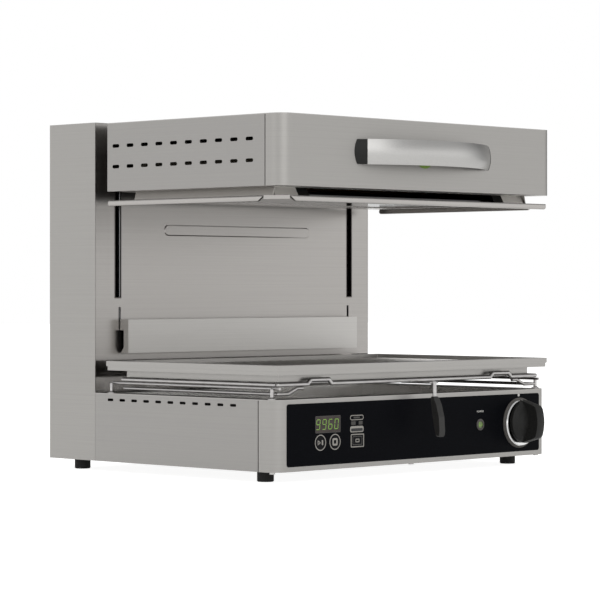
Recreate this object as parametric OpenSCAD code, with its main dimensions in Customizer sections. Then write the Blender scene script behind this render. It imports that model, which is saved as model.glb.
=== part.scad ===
// Salamander grill: a heated head that slides up and down a rear column,
// above a tray on a wire rack. The origin lies on the table under the middle
// of the whole outline. X runs to the right, Y to the rear and Z up.

/* [Overall] */
// Width of head, base and column
body_w = 600; // [560:5:700]
// Depth from the front face of the head to the back of the column
body_d = 494; // [490:1:540]
// Height from the table to the top of the column
body_h = 520.6; // [516:0.2:560]
// Thickness of the steel sheet
sheet = 1.2; // [0.8:0.1:1.5]
// Plan radius of the front corners of head and base
corner_r = 21; // [14:1:26]
// Width of the seam between a fascia and the side panel behind it
seam = 1.5; // [0.8:0.1:3]
// Gap between pieces that lie beside each other
gap = 0.3; // [0.2:0.05:0.4]
// Radial clearance of a shaft or bush in its hole
run_fit = 0.05; // [0.02:0.01:0.1]

/* [Feet] */
// Radius of a rubber foot
foot_r = 12; // [8:1:16]
// Height of a rubber foot
foot_h = 15.9; // [10:0.1:25]
// Distance of the foot centres from the side of the body
foot_in_x = 32.8; // [28:0.1:60]
// Distance of the front feet behind the front of the base
foot_front_in = 53.2; // [40:0.1:90]
// Distance of the rear feet in front of the back of the column
foot_rear_in = 37.9; // [30:0.1:60]

/* [Base] */
// Distance of the base's front behind the head's front
base_setback = 10.7; // [6:0.1:16]
// Height of the base above the feet
base_h = 101.5; // [98:0.5:120]
// How far the front fascia wraps along the side
base_wrap = 34.2; // [30:0.1:44]
// Number of vent slots in each side panel of the base
base_vent_n = 11; // [3:1:12]
// Length of a vent slot of the base
base_vent_len = 12.5; // [8:0.5:16]
// Height of a vent slot of the base
base_vent_h = 4; // [2:0.5:6]
// Distance of the first vent slot behind the front of the base
base_vent_first = 85.2; // [60:0.1:100]
// Distance of the last vent slot in front of the column
base_vent_last = 34.4; // [20:0.1:60]
// Distance of the vent row below the top of the base
base_vent_drop = 9.6; // [7:0.1:20]
// Width of the flat rim round the drip well
well_rim = 27; // [22:1:40]
// Depth of the drip well
well_depth = 20; // [10:1:28]

/* [Control panel] */
// Height of the control panel
panel_h = 88.2; // [84:0.2:92]
// Distance of the control panel above the bottom of the base
panel_up = 6.9; // [4:0.1:9]
// Distance of the control panel from the side of the base
panel_in_x = 21.5; // [18:0.5:40]
// Corner radius of the control panel
panel_r = 4; // [2:0.5:8]
// How far the control panel stands in front of the fascia
panel_t = 0.8; // [0.4:0.1:1.5]
// Distance of the display centre from the left end of the panel
display_in = 83; // [60:1:100]
// Width of the display window
display_w = 51.6; // [40:0.2:56]
// Height of the display window
display_h = 24.6; // [18:0.2:25.6]
// Height of the display centre above the bottom of the panel
display_up = 57.5; // [57:0.5:60]
// Radius of the start and stop keys
key_r = 11.9; // [8:0.1:12.4]
// Distance of the start key from the left end of the panel
start_in = 67.3; // [50:0.1:80]
// Distance between the start and stop keys
key_pitch = 30; // [27:0.5:34]
// Height of the key centres above the bottom of the panel
key_up = 31.9; // [26:0.1:32.4]
// Distance of the zone key from the left end of the panel
zone_in = 144.5; // [138:0.5:160]
// Width of the zone key
zone_w = 29.5; // [20:0.5:32]
// Height of the zone key
zone_h = 19.5; // [14:0.5:22]
// Travel of a key when it is pressed
key_travel = 0.8; // [0.4:0.1:1.2]
// Distance of the lamp from the right end of the panel
lamp_in = 140.5; // [110:0.5:160]
// Height of the lamp above the bottom of the panel
lamp_up = 44.4; // [36:0.1:50]
// Outer radius of the lamp bezel
lamp_r = 8.7; // [6:0.1:11]
// Distance of the knob from the right end of the panel
knob_in = 48.4; // [44:0.1:60]
// Height of the knob above the bottom of the panel
knob_up = 46; // [43:0.5:47]
// Distance of the dial ring's middle below the knob's axis
dial_drop = 2; // [0:0.1:3]
// Radius of the dial ring behind the knob
dial_r = 38.5; // [36:0.5:40]
// Radius of the knob
knob_r = 32.5; // [28:0.5:34]
// Thickness of the knob's round base at its rim
knob_t = 5.2; // [3:0.1:6]
// Distance of the knob from the chromed ring behind it
knob_off = 2.8; // [0.6:0.1:4]
// Thickness of the chromed ring on the dial
trim_t = 4; // [1:0.1:5]
// How far the middle of the knob's base rises in front of its rim
knob_dome = 11.4; // [8:0.1:14]
// How far the grip bar stands in front of the rim of the knob's base
grip_out = 29.1; // [24:0.1:36]
// Width of the knob's grip bar
grip_w = 17; // [12:0.5:22]
// Radius of the knob shaft
shaft_r = 3; // [2.5:0.1:4]

/* [Column] */
// Depth of the column
col_d = 103.7; // [102:0.1:120]
// Height of the recess behind the tray
recess_h = 48; // [44:1:56]
// Depth of the recess behind the tray
recess_d = 18; // [10:0.5:18]
// Distance of the lift slots from the side of the column
slot_in_x = 45.6; // [44:0.2:52]
// Width of a lift slot
slot_w = 14; // [11:0.2:16]
// Wall of the plastic liner in a lift slot
liner_t = 1.4; // [1:0.1:1.6]
// Distance of the embossed rib's ends from the side of the column
rib_in_x = 140; // [110:5:200]
// Height of the embossed rib
rib_h = 16.9; // [10:0.1:24]
// Height of the rib centre above the bottom of the column
rib_up = 346.1; // [330:0.1:360]
// How far the rib stands out of the panel
rib_out = 1.4; // [0.8:0.1:2]
// Width of the rib's sloping flank
rib_flank = 1.6; // [0.8:0.1:3]
// Distance of the cable gland from the side of the column
gland_in_x = 98; // [60:1:140]
// Radius of the hole through the cable gland
gland_bore_r = 5.5; // [4:0.5:7]
// How far the cable gland stands out of the rear cover
gland_out = 17; // [10:0.5:20]

/* [Lift] */
// Space between the guard and the tray when the head is lowest
low_gap = 69.8; // [69:0.2:120]
// Radius of a guide rod
rod_r = 8; // [7:0.5:9]
// Distance of the guide rods behind the front of the column
rod_in_y = 34; // [33:0.5:36]
// Distance between each lift slot and the guide rod beside it
rod_in_x = 34.4; // [32:0.2:36]
// Radius on which the cable runs over a pulley
pulley_r = 20; // [18:0.5:20]
// Radius of the lift cable
cable_r = 1.5; // [1:0.1:2]
// Thickness of a lift arm
arm_t = 8; // [6:0.5:8]
// Height of a lift arm
arm_h = 44; // [30:1:50]
// Distance of the counterweight from the side of the column
weight_in_x = 150; // [145:5:180]
// Height of the counterweight
weight_h = 120; // [80:5:125]
// Thickness of the counterweight
weight_t = 36; // [20:1:38]

/* [Head] */
// Gap between the back of the head and the column
head_gap = 27.6; // [24:0.1:36]
// Height of the head
head_h = 101.5; // [98:0.5:104]
// Distance of the head's top below the column's top
head_drop = 2.3; // [1:0.1:6]
// How far the head's fascia wraps along the side
head_wrap = 31.4; // [29:0.1:40]
// Number of vent slots in a row of the head's side panels
head_vent_n = 10; // [3:1:11]
// Length of a vent slot of the head
head_vent_len = 15; // [8:0.5:18]
// Height of a vent slot of the head
head_vent_h = 5.3; // [3:0.1:7]
// Distance of the first vent slot behind the head's front
head_vent_first = 63.2; // [50:0.2:64]
// Distance of the last vent slot in front of the head's back
head_vent_last = 18.7; // [16:0.1:40]
// Height of the lower vent row above the head's bottom
head_vent_up = 36.5; // [20:0.5:40]
// Distance between the two vent rows
head_vent_rise = 30.6; // [15:0.2:36]

/* [Heat box and guard] */
// Height of the guard's top plate below the head
guard_drop = 13.4; // [12:0.2:16]
// Height of the guard's rim
guard_lip = 8.4; // [6:0.2:12]
// Distance of the heat box wall from the side of the head
heat_in_x = 24; // [22:1:30]
// Distance of the heat box wall behind the head's front
heat_in_y = 45; // [35:1:48]
// How far the heat box walls flare out at the bottom
heat_flare = 8; // [4:0.5:10]
// Thickness of the guard's rolled rim
guard_roll = 4; // [3:0.2:6]
// Height of the lip along the guard's corner cuts
guard_corner_lip = 5.4; // [3:0.2:6]
// Distance of the guard's corner cut along the front
guard_cut_x = 17; // [12:1:20]
// Distance of the guard's corner cut along the side
guard_cut_y = 35; // [20:1:36]
// Distance of the dark slot from the ends of the heat box's front wall
heat_slot_in = 71.5; // [36:0.5:120]
// Thickness of the glass under the heating elements
glass_t = 4; // [3:0.5:5]
// Radius of a heating element
element_r = 4; // [3:0.5:5]
// Number of heating elements
element_n = 6; // [3:1:8]

/* [Head handle] */
// Half the length of the handle
handle_half = 152; // [110:1:180]
// How far the handle stands in front of the head
handle_out = 53; // [44:1:60]
// Height of the handle
handle_h = 36.5; // [28:0.5:40]
// How far the handle's front bulges between its long edges
handle_crown = 3.5; // [2:0.1:4]
// How far the ends of the handle bulge between their corners
handle_bow = 2.6; // [1:0.1:4]
// Thickness of the handle's strap
handle_t = 4; // [3:0.5:6]
// Distance of the handle above the head's bottom
handle_up = 34; // [20:0.1:40]
// Length of the handle covered by each end piece
handle_end = 16; // [12:1:24]
// Radius of the plain badge behind the handle
badge_r = 20; // [12:1:24]

/* [Tray] */
// Distance of the tray's rim from the side of the body
tray_in_x = 2.6; // [2:0.1:6]
// Distance of the tray's front behind the head's front
tray_in_y = 9.6; // [6:0.1:14]
// Gap between the back of the tray and the column
tray_gap = 22; // [20.5:0.1:40]
// Height of the tray's outer band
band_h = 13.9; // [11:0.1:16]
// Height of the upper part of the band, which stands out a little
band_upper_h = 7.7; // [4:0.1:8]
// How far the upper part of the band stands out
band_step = 1.5; // [1:0.1:2]
// Distance of the pan's wall inside the tray's rim
pan_inset = 21; // [18:0.5:26]
// Distance from the band down to the bottom of the pan
pan_drop = 10.1; // [8:0.1:12]
// Plan radius of the pan's corners
pan_r = 2; // [1.5:0.5:20]
// Radius of a bar of the tray's grid
grid_r = 2.5; // [2:0.25:3]
// Distance between bars of the grid
grid_pitch = 19; // [14:0.5:30]
// Distance of the grid's top below the tray's rim
grid_sink = 5.5; // [5:0.5:8]

/* [Rack] */
// Radius of the rack's thick wire
rack_wire_r = 3; // [2.5:0.1:3.2]
// Radius of the stand's upper wire
stand_wire_r = 2; // [1.5:0.1:2.2]
// Radius of the stand's lower wire
low_wire_r = 2.4; // [1.8:0.1:2.6]
// Height of the stand's upper wire above the base
stand_up = 15.2; // [14:0.1:18]
// Height of the stand's lower wire above the base
stand_low_up = 7.3; // [7:0.1:8]
// Distance of the stand's wires from the side of the body
stand_in_x = 14; // [13:0.5:16]
// Distance of the rack's side rails from the side of the body
rail_in_x = 16; // [15:0.5:18]
// Distance of the rack's front bar behind the head's front
rack_front_in = 22; // [20:0.5:26]
// Distance of the rack's rear end in front of the column
rack_rear_gap = 44.3; // [36:0.1:60]
// Radius of a leg of the stand
leg_r = 2.6; // [2:0.1:2.8]
// Height of a leg of the stand
leg_h = 16; // [14:0.1:17]
// Distance of the front legs behind the head's front
leg_front_in = 27.8; // [24:0.1:40]
// Distance of the rear legs in front of the column
leg_rear_gap = 26.8; // [18:0.1:40]
// How far the stand's upper wires run past the front legs
wire_over = 11; // [4:0.5:14]
// Radius of a leg's foot
leg_foot_r = 5.8; // [4:0.1:6.5]
// Height of a leg's foot
leg_foot_h = 3.5; // [2:0.1:4]
// Distance of a raised stop of the front bar from the bar's end
stop_in_x = 84; // [75:1:135]
// Half the length of a raised stop
stop_half = 18.5; // [12:0.5:24]
// Height by which a stop is raised
stop_rise = 5.8; // [5:0.1:6]
// Radius of a thin cross wire of the rack
cross_r = 2; // [1.5:0.1:2.5]
// Number of cross wires of the rack
cross_n = 4; // [3:1:6]

/* [Rack grip] */
// How far the grip's hinge stands in front of the head's front
hinge_out = 17; // [14:0.5:20]
// Radius of the bracket's wire and of the hinge pin
hinge_r = 1.5; // [1:0.1:2]
// Half the distance between the wires of the grip bracket
bracket_half = 8; // [7:0.5:10]
// Width of the grip's steel strap
strap_w = 7; // [5:0.5:8]
// Thickness of the grip's steel strap
strap_t = 1.6; // [1:0.1:2]
// Distance of the plastic grip below the hinge
grip_drop = 20; // [14:0.5:26]
// Length of the plastic grip
rack_grip_l = 59; // [40:1:64]
// Width of the plastic grip
rack_grip_w = 12.5; // [10:0.5:16]
// Thickness of the plastic grip
rack_grip_t = 7.5; // [5:0.5:9]
// How far the grip leans forward from top to bottom
rack_grip_lean = 12; // [6:0.5:14]

/* [Plate detector] */
// Distance of the detector bar from the side of the column
bar_in_x = 48.5; // [46:0.5:60]
// Height of the detector bar
bar_h = 50.5; // [40:0.5:52]
// Depth of the detector bar
bar_d = 20.3; // [16:0.1:21]
// Distance of the bar's bottom above the recess
bar_up = 10.6; // [4:0.1:11]
// Swing of the detector bar in degrees
bar_swing = 3; // [1:0.5:3]
// Width of the hook slots above the bar
hook_slot_w = 4.4; // [3.5:0.1:6]
// How far the hook slots run above the bar
hook_slot_over = 18.5; // [12:0.5:20]

/* [Hidden] */
$fn = 64;
// Overrun of every cut
over = 2 * sheet;

// Main planes
half_w = body_w / 2;
inner_half = half_w - sheet - gap;
front_y = (handle_out - body_d - gland_out) / 2;
rear_y = front_y + body_d;
base_y = front_y + base_setback;
col_y = rear_y - col_d;
base_top = foot_h + base_h;
recess_top = base_top + recess_h;
recess_y = col_y + recess_d;
head_top_z = body_h - head_drop;
head_z = head_top_z - head_h;
head_d = body_d - col_d - head_gap;
head_rear = front_y + head_d;
guard_z = head_z - guard_drop;
guard_low = guard_z - guard_lip;

// Seams and folds of the panels
fold = 9 * sheet;

// Vent rows spread between their first and last slots
base_vent_run = col_y - base_y - base_vent_first - base_vent_last;
base_vent_pitch = base_vent_run / (base_vent_n - 1);
head_vent_run = head_d - head_vent_first - head_vent_last;
head_vent_pitch = head_vent_run / (head_vent_n - 1);

// Control panel places
panel_half = half_w - panel_in_x;
panel_z = foot_h + panel_up;
panel_face = base_y - panel_t;
display_x = display_in - panel_half;
display_z = panel_z + display_up;
start_x = start_in - panel_half;
stop_x2 = start_x + key_pitch;
key_z = panel_z + key_up;
zone_x = zone_in - panel_half;
lamp_x = panel_half - lamp_in;
lamp_z = panel_z + lamp_up;
knob_x = panel_half - knob_in;
knob_z = panel_z + knob_up;
dial_z = knob_z - dial_drop;
dial_t = 2 * sheet;
trim_r = dial_r - 2.5 * sheet;
knob_back = panel_face - dial_t - trim_t - knob_off;
knob_bore_y = knob_back - knob_t - grip_out / 2;
key_fit = 0.8 * gap;
key_t = 3 * sheet;
key_stem_r = key_r / 2;
lamp_bezel_t = sheet;
lamp_lens_r = 0.58 * lamp_r;
bush_r = shaft_r + 2.2 * sheet;
regulator_half = 0.55 * dial_r;
regulator_d = dial_r;
board_t = 1.3 * sheet;
board_gap = 7 * sheet;
board_face = base_y + sheet + board_gap;

// Tray and rack places
tray_half = half_w - tray_in_x;
tray_y0 = front_y + tray_in_y;
tray_y1 = col_y - tray_gap;
stand_z = base_top + stand_up;
stand_x = half_w - stand_in_x;
low_z = base_top + stand_low_up;
rail_x = half_w - rail_in_x;
rail_z = stand_z + stand_wire_r + gap + rack_wire_r;
rack_y0 = front_y + rack_front_in;
rack_y1 = col_y - rack_rear_gap;
leg_y0 = front_y + leg_front_in;
leg_y1 = col_y - leg_rear_gap;
leg_x = stand_x + stand_wire_r + gap + leg_r;
pan_z = rail_z + rack_wire_r + gap;
band_z = pan_z + pan_drop;
tray_top = band_z + band_h;
pan_half = tray_half - pan_inset;
pan_y0 = tray_y0 + pan_inset;
pan_y1 = tray_y1 - pan_inset;
cross_z2 = rail_z + rack_wire_r - cross_r;
stop_x = rail_x - stop_in_x;
stop_slope = 6;
bend_share = 1.03;
finger_foot = 25;
finger_slope = 18;
finger_tip = 12;
finger_in = 25.7;
low_rear_gap = 44.8;
finger_x0 = stand_x - finger_foot;
finger_x1 = finger_x0 - finger_slope;
finger_x2 = finger_x1 - finger_tip;
finger_y = front_y + finger_in;
low_y1 = col_y - low_rear_gap;
grid_z = tray_top - grid_sink - grid_r;
grid_in = 3;

// Embossed rib of the column's front panel
rib_half = half_w - rib_in_x;
rib_z = foot_h + rib_up;

// Lift places
arm_x = half_w - slot_in_x;
arm_z = head_z + 4 * sheet;
slot_end_gap = 3 * sheet;
travel = guard_low - tray_top - low_gap;
slot_low = arm_z - travel - slot_end_gap;
slot_high = arm_z + arm_h + slot_end_gap;
rod_x = arm_x - rod_in_x;
rod_y = col_y + rod_in_y;
block_half = 18;
bush_wall = 3;
block_h = arm_h;
cross_t = 8;
cable_y = rod_y - pulley_r;
cross_y = cable_y - cross_t / 2;
cross_h = 30;
weight_half = half_w - weight_in_x;
cable_out = 30;
cable_x = weight_half + cable_out;
pulley_w = 8;
pulley_flange = 2;
pulley_lift = 22;
cross_z = arm_z + (arm_h - cross_h) / 2;
cross_top = cross_z + cross_h;
pulley_z = cross_top + pulley_lift;
cable_back_y = rod_y + pulley_r;
axle_r = 4;
beam_t = 8;
beam_half_y = 13;
beam_low_z = recess_top + 5 * sheet;
beam_high_z = pulley_z + pulley_r + pulley_flange + 4 * sheet;
cheek_t = 2.5;
cheek_gap = 1.2;
cheek_half_y = 12;
ear_t = 10;
ear_half_y = 4;
weight_z = cross_top - travel - weight_h + cable_r;
weight_ahead = 6;
weight_y = cable_back_y - weight_ahead;

// Head places
head_inner_z = head_z + sheet;
heat_half = half_w - heat_in_x;
heat_y0 = front_y + heat_in_y;
heat_y1 = head_rear - heat_in_y;
heat_slot_half = heat_half - heat_slot_in;
glass_in = 12;
reflect_h = 20;
reflect_in = 6;
wool_h = 34;

// Handle arc, with its crown and the bow of its ends
crown_r = (handle_h * handle_h / 4 + handle_crown * handle_crown) / (2 * handle_crown);
bow_r = (handle_h * handle_h / 4 + handle_bow * handle_bow) / (2 * handle_bow);
cap_sink = 0.4;
handle_arc = (handle_half * handle_half + handle_out * handle_out) / (2 * handle_out);
handle_z = head_z + handle_up;
handle_mid_z = handle_z + handle_h / 2;
handle_y = front_y - handle_out + handle_arc;
post_w = 2.6 * handle_end;
badge_t = sheet;

// Rack grip places
hinge_y = front_y - hinge_out;
hinge_z = rail_z - rack_wire_r;
knuckle_r = hinge_r + run_fit + strap_t;
knuckle_half = strap_w / 2;
hinge_pin_half = bracket_half + hinge_r;
bracket_run = 16;
bracket_y1 = rack_y0 + bracket_run;
grip_top = hinge_z - grip_drop;
grip_overlap = 10;

// Detector places
bar_half = half_w - bar_in_x;
bar_z = recess_top + bar_up;
bar_top = bar_z + bar_h;
bar_y = col_y - bar_d;
bar_gap = 1;
bar_pivot_drop = 4;
bar_pivot_z = bar_top - bar_pivot_drop;
bar_pivot_y = col_y - bar_gap;
bar_back_low = col_y - bar_gap - (bar_pivot_z - bar_z) * tan(bar_swing) - gap;
hook_x = bar_half - sheet / 2;
hook_drop = 3;
hook_h = 11;
hook_z1 = bar_top - hook_drop;
hook_z0 = hook_z1 - hook_h;
hook_reach = 6;

// Rear cover: places of the screws as shares of its half width and height
screw_x_shares = [-0.95, 0.95];
screw_z_shares = [0.04, 0.35, 0.65, 0.96];
screw_r = 4;
screw_hole_r = 2.2;
screw_head = 2.8;
floor_screw_in = 9;
floor_screw_back = 16;
cover_z0 = foot_h + sheet + gap;
cover_z1 = body_h - sheet - gap;
gland_x = half_w - gland_in_x;
gland_z = foot_h + base_h / 3;
gland_wall = 3 * sheet;
gland_inside = 6 * sheet;
rear_vent_w = 60;
rear_vent_h = 4;
rear_vent_pitch_x = 90;
rear_vent_pitch_z = 12;
rear_vent_side = 2;

// Colours
steel = [0.64, 0.63, 0.62];
bright_steel = [0.78, 0.78, 0.77];
dark_steel = [0.36, 0.35, 0.34];
black = [0.13, 0.13, 0.12];
rubber_black = [0.09, 0.09, 0.09];
glass_black = [0.07, 0.07, 0.09];
bronze = [0.62, 0.48, 0.28];

// Box between two corners
module slab(x0, x1, y0, y1, z0, z1) {
  translate([x0, y0, z0])
    cube([x1 - x0, y1 - y0, z1 - z0]);
}

// Round bars along each axis
module bar_x(r, x0, x1, y, z) {
  translate([x0, y, z])
    rotate([0, 90, 0])
      cylinder(r = r, h = x1 - x0);
}

module bar_y(r, x, y0, y1, z) {
  translate([x, y0, z])
    rotate([-90, 0, 0])
      cylinder(r = r, h = y1 - y0);
}

module bar_z(r, x, y, z0, z1) {
  translate([x, y, z0])
    cylinder(r = r, h = z1 - z0);
}

// Round bar between two points of a plane of constant Y
module bar_xz(r, y, x0, z0, x1, z1) {
  translate([x0, y, z0])
    rotate([0, atan2(x1 - x0, z1 - z0), 0])
      cylinder(r = r, h = norm([x1 - x0, z1 - z0]));
}

module ball(r, x, y, z) {
  translate([x, y, z])
    sphere(r = r);
}

// Left and right copies
module both_sides() {
  children();
  mirror([1, 0, 0])
    children();
}

// Plan outline with two round front corners, its front edge on Y = 0
module front_round(w, d, r) {
  intersection() {
    translate([-w / 2, 0])
      square([w, d]);
    union() {
      translate([-w / 2, r])
        square([w, d]);
      translate([r - w / 2, 0])
        square([w - 2 * r, d]);
      for (side = [-1, 1])
        translate([side * (w / 2 - r), r])
          circle(r = r);
    }
  }
}

// Outline with four round corners, centred on the origin
module round_rect(w, h, r) {
  square([w - 2 * r, h], center = true);
  square([w, h - 2 * r], center = true);
  for (sx = [-1, 1])
    for (sy = [-1, 1])
      translate([sx * (w / 2 - r), sy * (h / 2 - r)])
        circle(r = r);
}

// Outline of a slot with round ends, centred on the origin
module stadium(len, h) {
  square([len - h, h], center = true);
  for (side = [-1, 1])
    translate([side * (len - h) / 2, 0])
      circle(r = h / 2);
}

// Turns a plan outline into a plate that faces the front, from y0 back to y1
module upright(y0, y1) {
  translate([0, y1, 0])
    rotate([90, 0, 0])
      linear_extrude(y1 - y0)
        children();
}

// Turns an outline drawn in Y and Z into a plate from x0 to x1
module sideways(x0, x1) {
  translate([x0, 0, 0])
    rotate([90, 0, 90])
      linear_extrude(x1 - x0)
        children();
}

// Sheet wrapped round two front corners, with a fold at each rear end
module wrap_sheet(depth, z0, z1) {
  translate([0, 0, z0])
    linear_extrude(z1 - z0)
      difference() {
        front_round(body_w, depth, corner_r);
        translate([0, sheet])
          front_round(body_w - 2 * sheet, depth, corner_r - sheet);
      }
  both_sides()
    slab(half_w - fold, half_w - sheet / 2, depth - sheet, depth, z0 + sheet + gap, z1);
}

// One row of vent slots through a side panel
module vent_row(n, pitch, len, h, y, z) {
  for (i = [0 : n - 1])
    translate([0, y + i * pitch, z])
      sideways(half_w - over, half_w + over)
        stadium(len, h);
}

// Base

module feet() {
  color(rubber_black)
    for (side = [-1, 1])
      for (y = [base_y + foot_front_in, rear_y - foot_rear_in])
        translate([side * (half_w - foot_in_x), y, 0])
          rotate_extrude()
            polygon([
              [0, 0], [foot_r - sheet, 0], [foot_r, sheet],
              [foot_r, foot_h], [0, foot_h]
            ]);
}

module base_floor() {
  color(dark_steel)
    translate([0, base_y + sheet + gap, foot_h])
      linear_extrude(sheet)
        front_round(2 * inner_half, rear_y - base_y - 2 * (sheet + gap), corner_r - sheet - gap);
}

module base_fascia() {
  color(steel)
    difference() {
      translate([0, base_y, 0])
        wrap_sheet(base_wrap, foot_h, base_top - sheet);
      panel_holes(base_y - over, base_y + over);
    }
}

// Holes that the fascia and the control panel share
module panel_holes(y0, y1) {
  translate([display_x, 0, display_z])
    upright(y0, y1)
      square([display_w, display_h], center = true);
  bar_y(key_r + key_fit, start_x, y0, y1, key_z);
  bar_y(key_r + key_fit, stop_x2, y0, y1, key_z);
  translate([zone_x, 0, key_z])
    upright(y0, y1)
      square([zone_w + 2 * key_fit, zone_h + 2 * key_fit], center = true);
  bar_y(lamp_lens_r + gap, lamp_x, y0, y1, lamp_z);
  bar_y(bush_r + gap, knob_x, y0, y1, knob_z);
}

module base_side_panels() {
  color(steel)
    both_sides()
      difference() {
        union() {
          slab(half_w - sheet, half_w, base_y + base_wrap + seam, col_y - gap, foot_h, base_top - sheet);
          slab(half_w - fold, half_w - sheet / 2, base_y + base_wrap + seam,
            base_y + base_wrap + seam + sheet, foot_h + sheet + gap, base_top - sheet);
        }
        vent_row(base_vent_n, base_vent_pitch, base_vent_len, base_vent_h,
          base_y + base_vent_first, base_top - base_vent_drop);
      }
}

module base_top() {
  well_y0 = base_y + well_rim;
  well_y1 = col_y - well_rim / 2;
  well_half = half_w - well_rim;
  color(bright_steel)
    difference() {
      union() {
        translate([0, base_y, base_top - sheet])
          linear_extrude(sheet)
            front_round(body_w, col_y - base_y, corner_r);
        slab(-inner_half, inner_half, col_y - sheet, recess_y, base_top - sheet, base_top);
        slab(-well_half - sheet, well_half + sheet, well_y0 - sheet, well_y1 + sheet,
          base_top - well_depth - sheet, base_top - sheet / 2);
      }
      slab(-well_half, well_half, well_y0, well_y1, base_top - well_depth, base_top + over);
    }
}

module control_panel() {
  color(glass_black)
    difference() {
      translate([0, 0, panel_z + panel_h / 2])
        upright(panel_face, base_y)
          round_rect(2 * panel_half, panel_h, panel_r);
      panel_holes(panel_face - over, base_y + over);
    }
}

module display_window() {
  color([0.33, 0.31, 0.3])
    translate([display_x, 0, display_z])
      upright(panel_face, base_y + 2 * sheet)
        square([display_w - gap, display_h - gap], center = true);
}

// A key with a stem that reaches the board behind the fascia
module round_key(x) {
  bar_y(key_r, x, panel_face, panel_face + key_t, key_z);
  bar_y(key_stem_r, x, panel_face + key_t - sheet, board_face - key_travel - gap, key_z);
}

module start_key() {
  color(black)
    round_key(start_x);
}

module stop_key() {
  color(black)
    round_key(stop_x2);
}

module zone_key() {
  color(black) {
    translate([zone_x, 0, key_z])
      upright(panel_face, panel_face + key_t)
        square([zone_w, zone_h], center = true);
    bar_y(key_stem_r, zone_x, panel_face + key_t - sheet, board_face - key_travel - gap, key_z);
  }
}

module lamp_bezel() {
  color(dark_steel)
    translate([lamp_x, panel_face, lamp_z])
      rotate([90, 0, 0])
        rotate_extrude()
          polygon([
            [lamp_lens_r + gap, 0], [lamp_r, 0], [lamp_r, lamp_bezel_t / 2],
            [lamp_r - sheet, lamp_bezel_t], [lamp_lens_r + gap, lamp_bezel_t]
          ]);
}

module lamp_lens() {
  color([0.35, 0.5, 0.2])
    translate([lamp_x, base_y + 3 * sheet, lamp_z])
      rotate([90, 0, 0])
        rotate_extrude()
          polygon([
            [0, 0], [lamp_r, 0], [lamp_r, 2 * sheet - gap], [lamp_lens_r, 2 * sheet - gap],
            [lamp_lens_r, 3 * sheet + panel_t + lamp_bezel_t / 2],
            [lamp_lens_r / 2, 3 * sheet + panel_t + lamp_bezel_t],
            [0, 3 * sheet + panel_t + lamp_bezel_t]
          ]);
}

module dial_ring() {
  color([0.3, 0.29, 0.28])
    difference() {
      translate([knob_x, panel_face, dial_z])
        rotate([90, 0, 0])
          rotate_extrude()
            polygon([[0, 0], [dial_r, 0], [dial_r, dial_t / 2], [dial_r - sheet, dial_t], [0, dial_t]]);
      bar_y(bush_r + gap, knob_x, panel_face - over, panel_face + over, knob_z);
    }
}

module dial_trim() {
  color(bright_steel)
    difference() {
      translate([knob_x, panel_face - dial_t, dial_z])
        rotate([90, 0, 0])
          rotate_extrude()
            polygon([[0, 0], [trim_r, 0], [trim_r, trim_t / 2], [trim_r - sheet, trim_t], [0, trim_t]]);
      bar_y(bush_r + gap, knob_x, knob_back - over, panel_face, knob_z);
    }
}

module heat_regulator() {
  color([0.5, 0.46, 0.4])
    difference() {
      union() {
        slab(knob_x - regulator_half, knob_x + regulator_half, base_y + sheet,
          base_y + sheet + regulator_d, knob_z - regulator_half, knob_z + regulator_half);
        bar_y(bush_r, knob_x, panel_face - dial_t / 2, base_y + over, knob_z);
      }
      bar_y(shaft_r + run_fit, knob_x, panel_face - over, base_y + regulator_d / 2, knob_z);
    }
}

module knob() {
  dome_shares = [[0.98, 0], [0.8, 0.38], [0.55, 0.72], [0.3, 0.93], [0.12, 1], [0, 1]];
  grip_shares = [
    [1, 0], [0.815, 0.7], [0.79, 0.755], [0.75, 0.81], [0.705, 0.85],
    [0.645, 0.88], [0.475, 0.935], [0.275, 0.98], [0.12, 0.997], [0, 1]
  ];
  grip_y = knob_back - knob_t - grip_out;
  color(black)
    difference() {
      union() {
        translate([knob_x, knob_back, knob_z])
          rotate([90, 0, 0])
            rotate_extrude()
              polygon(concat([[0, 0], [knob_r, 0], [knob_r, 0.9 * knob_t]],
                [for (p = dome_shares) [p[0] * knob_r, knob_t + p[1] * knob_dome]]));
        intersection() {
          slab(knob_x - grip_w / 2, knob_x + grip_w / 2, grip_y, knob_back - knob_t / 2,
            knob_z - knob_r, knob_z + knob_r);
          translate([knob_x, knob_back, knob_z])
            rotate([90, 0, 0])
              rotate_extrude()
                polygon(concat([[0, 0]],
                  [for (p = grip_shares) [p[0] * knob_r, knob_t + p[1] * grip_out]]));
        }
      }
      bar_y(shaft_r + run_fit, knob_x, knob_bore_y, knob_back + over, knob_z);
    }
}

module knob_shaft() {
  color(bright_steel)
    bar_y(shaft_r, knob_x, knob_bore_y + gap, base_y + regulator_d / 2 - gap, knob_z);
}

module control_board() {
  board_x0 = start_x - 2 * key_r;
  board_x1 = zone_x + zone_w;
  color([0.1, 0.3, 0.14]) {
    slab(board_x0, board_x1, board_face, board_face + board_t,
      panel_z + panel_up, display_z + display_h / 2);
    slab(board_x0 + key_r, board_x0 + 3 * key_r, board_face + board_t / 2,
      board_face + board_t + key_r, panel_z + panel_up + sheet, panel_z + panel_up + key_r);
    for (x = [display_x - display_w / 3, display_x + display_w / 3])
      bar_y(cable_r, x, base_y + 2 * sheet, board_face + board_t / 2, display_z);
    for (x = [board_x0 + sheet * 2, board_x1 - sheet * 2])
      bar_y(cable_r, x, base_y + sheet, board_face + board_t / 2, display_z);
  }
}

// Column

module column_wrap() {
  color(steel) {
    slab(-half_w, half_w, col_y, rear_y, body_h - sheet, body_h);
    both_sides()
      slab(half_w - sheet, half_w, col_y, rear_y, foot_h, body_h - sheet / 2);
  }
}

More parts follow.
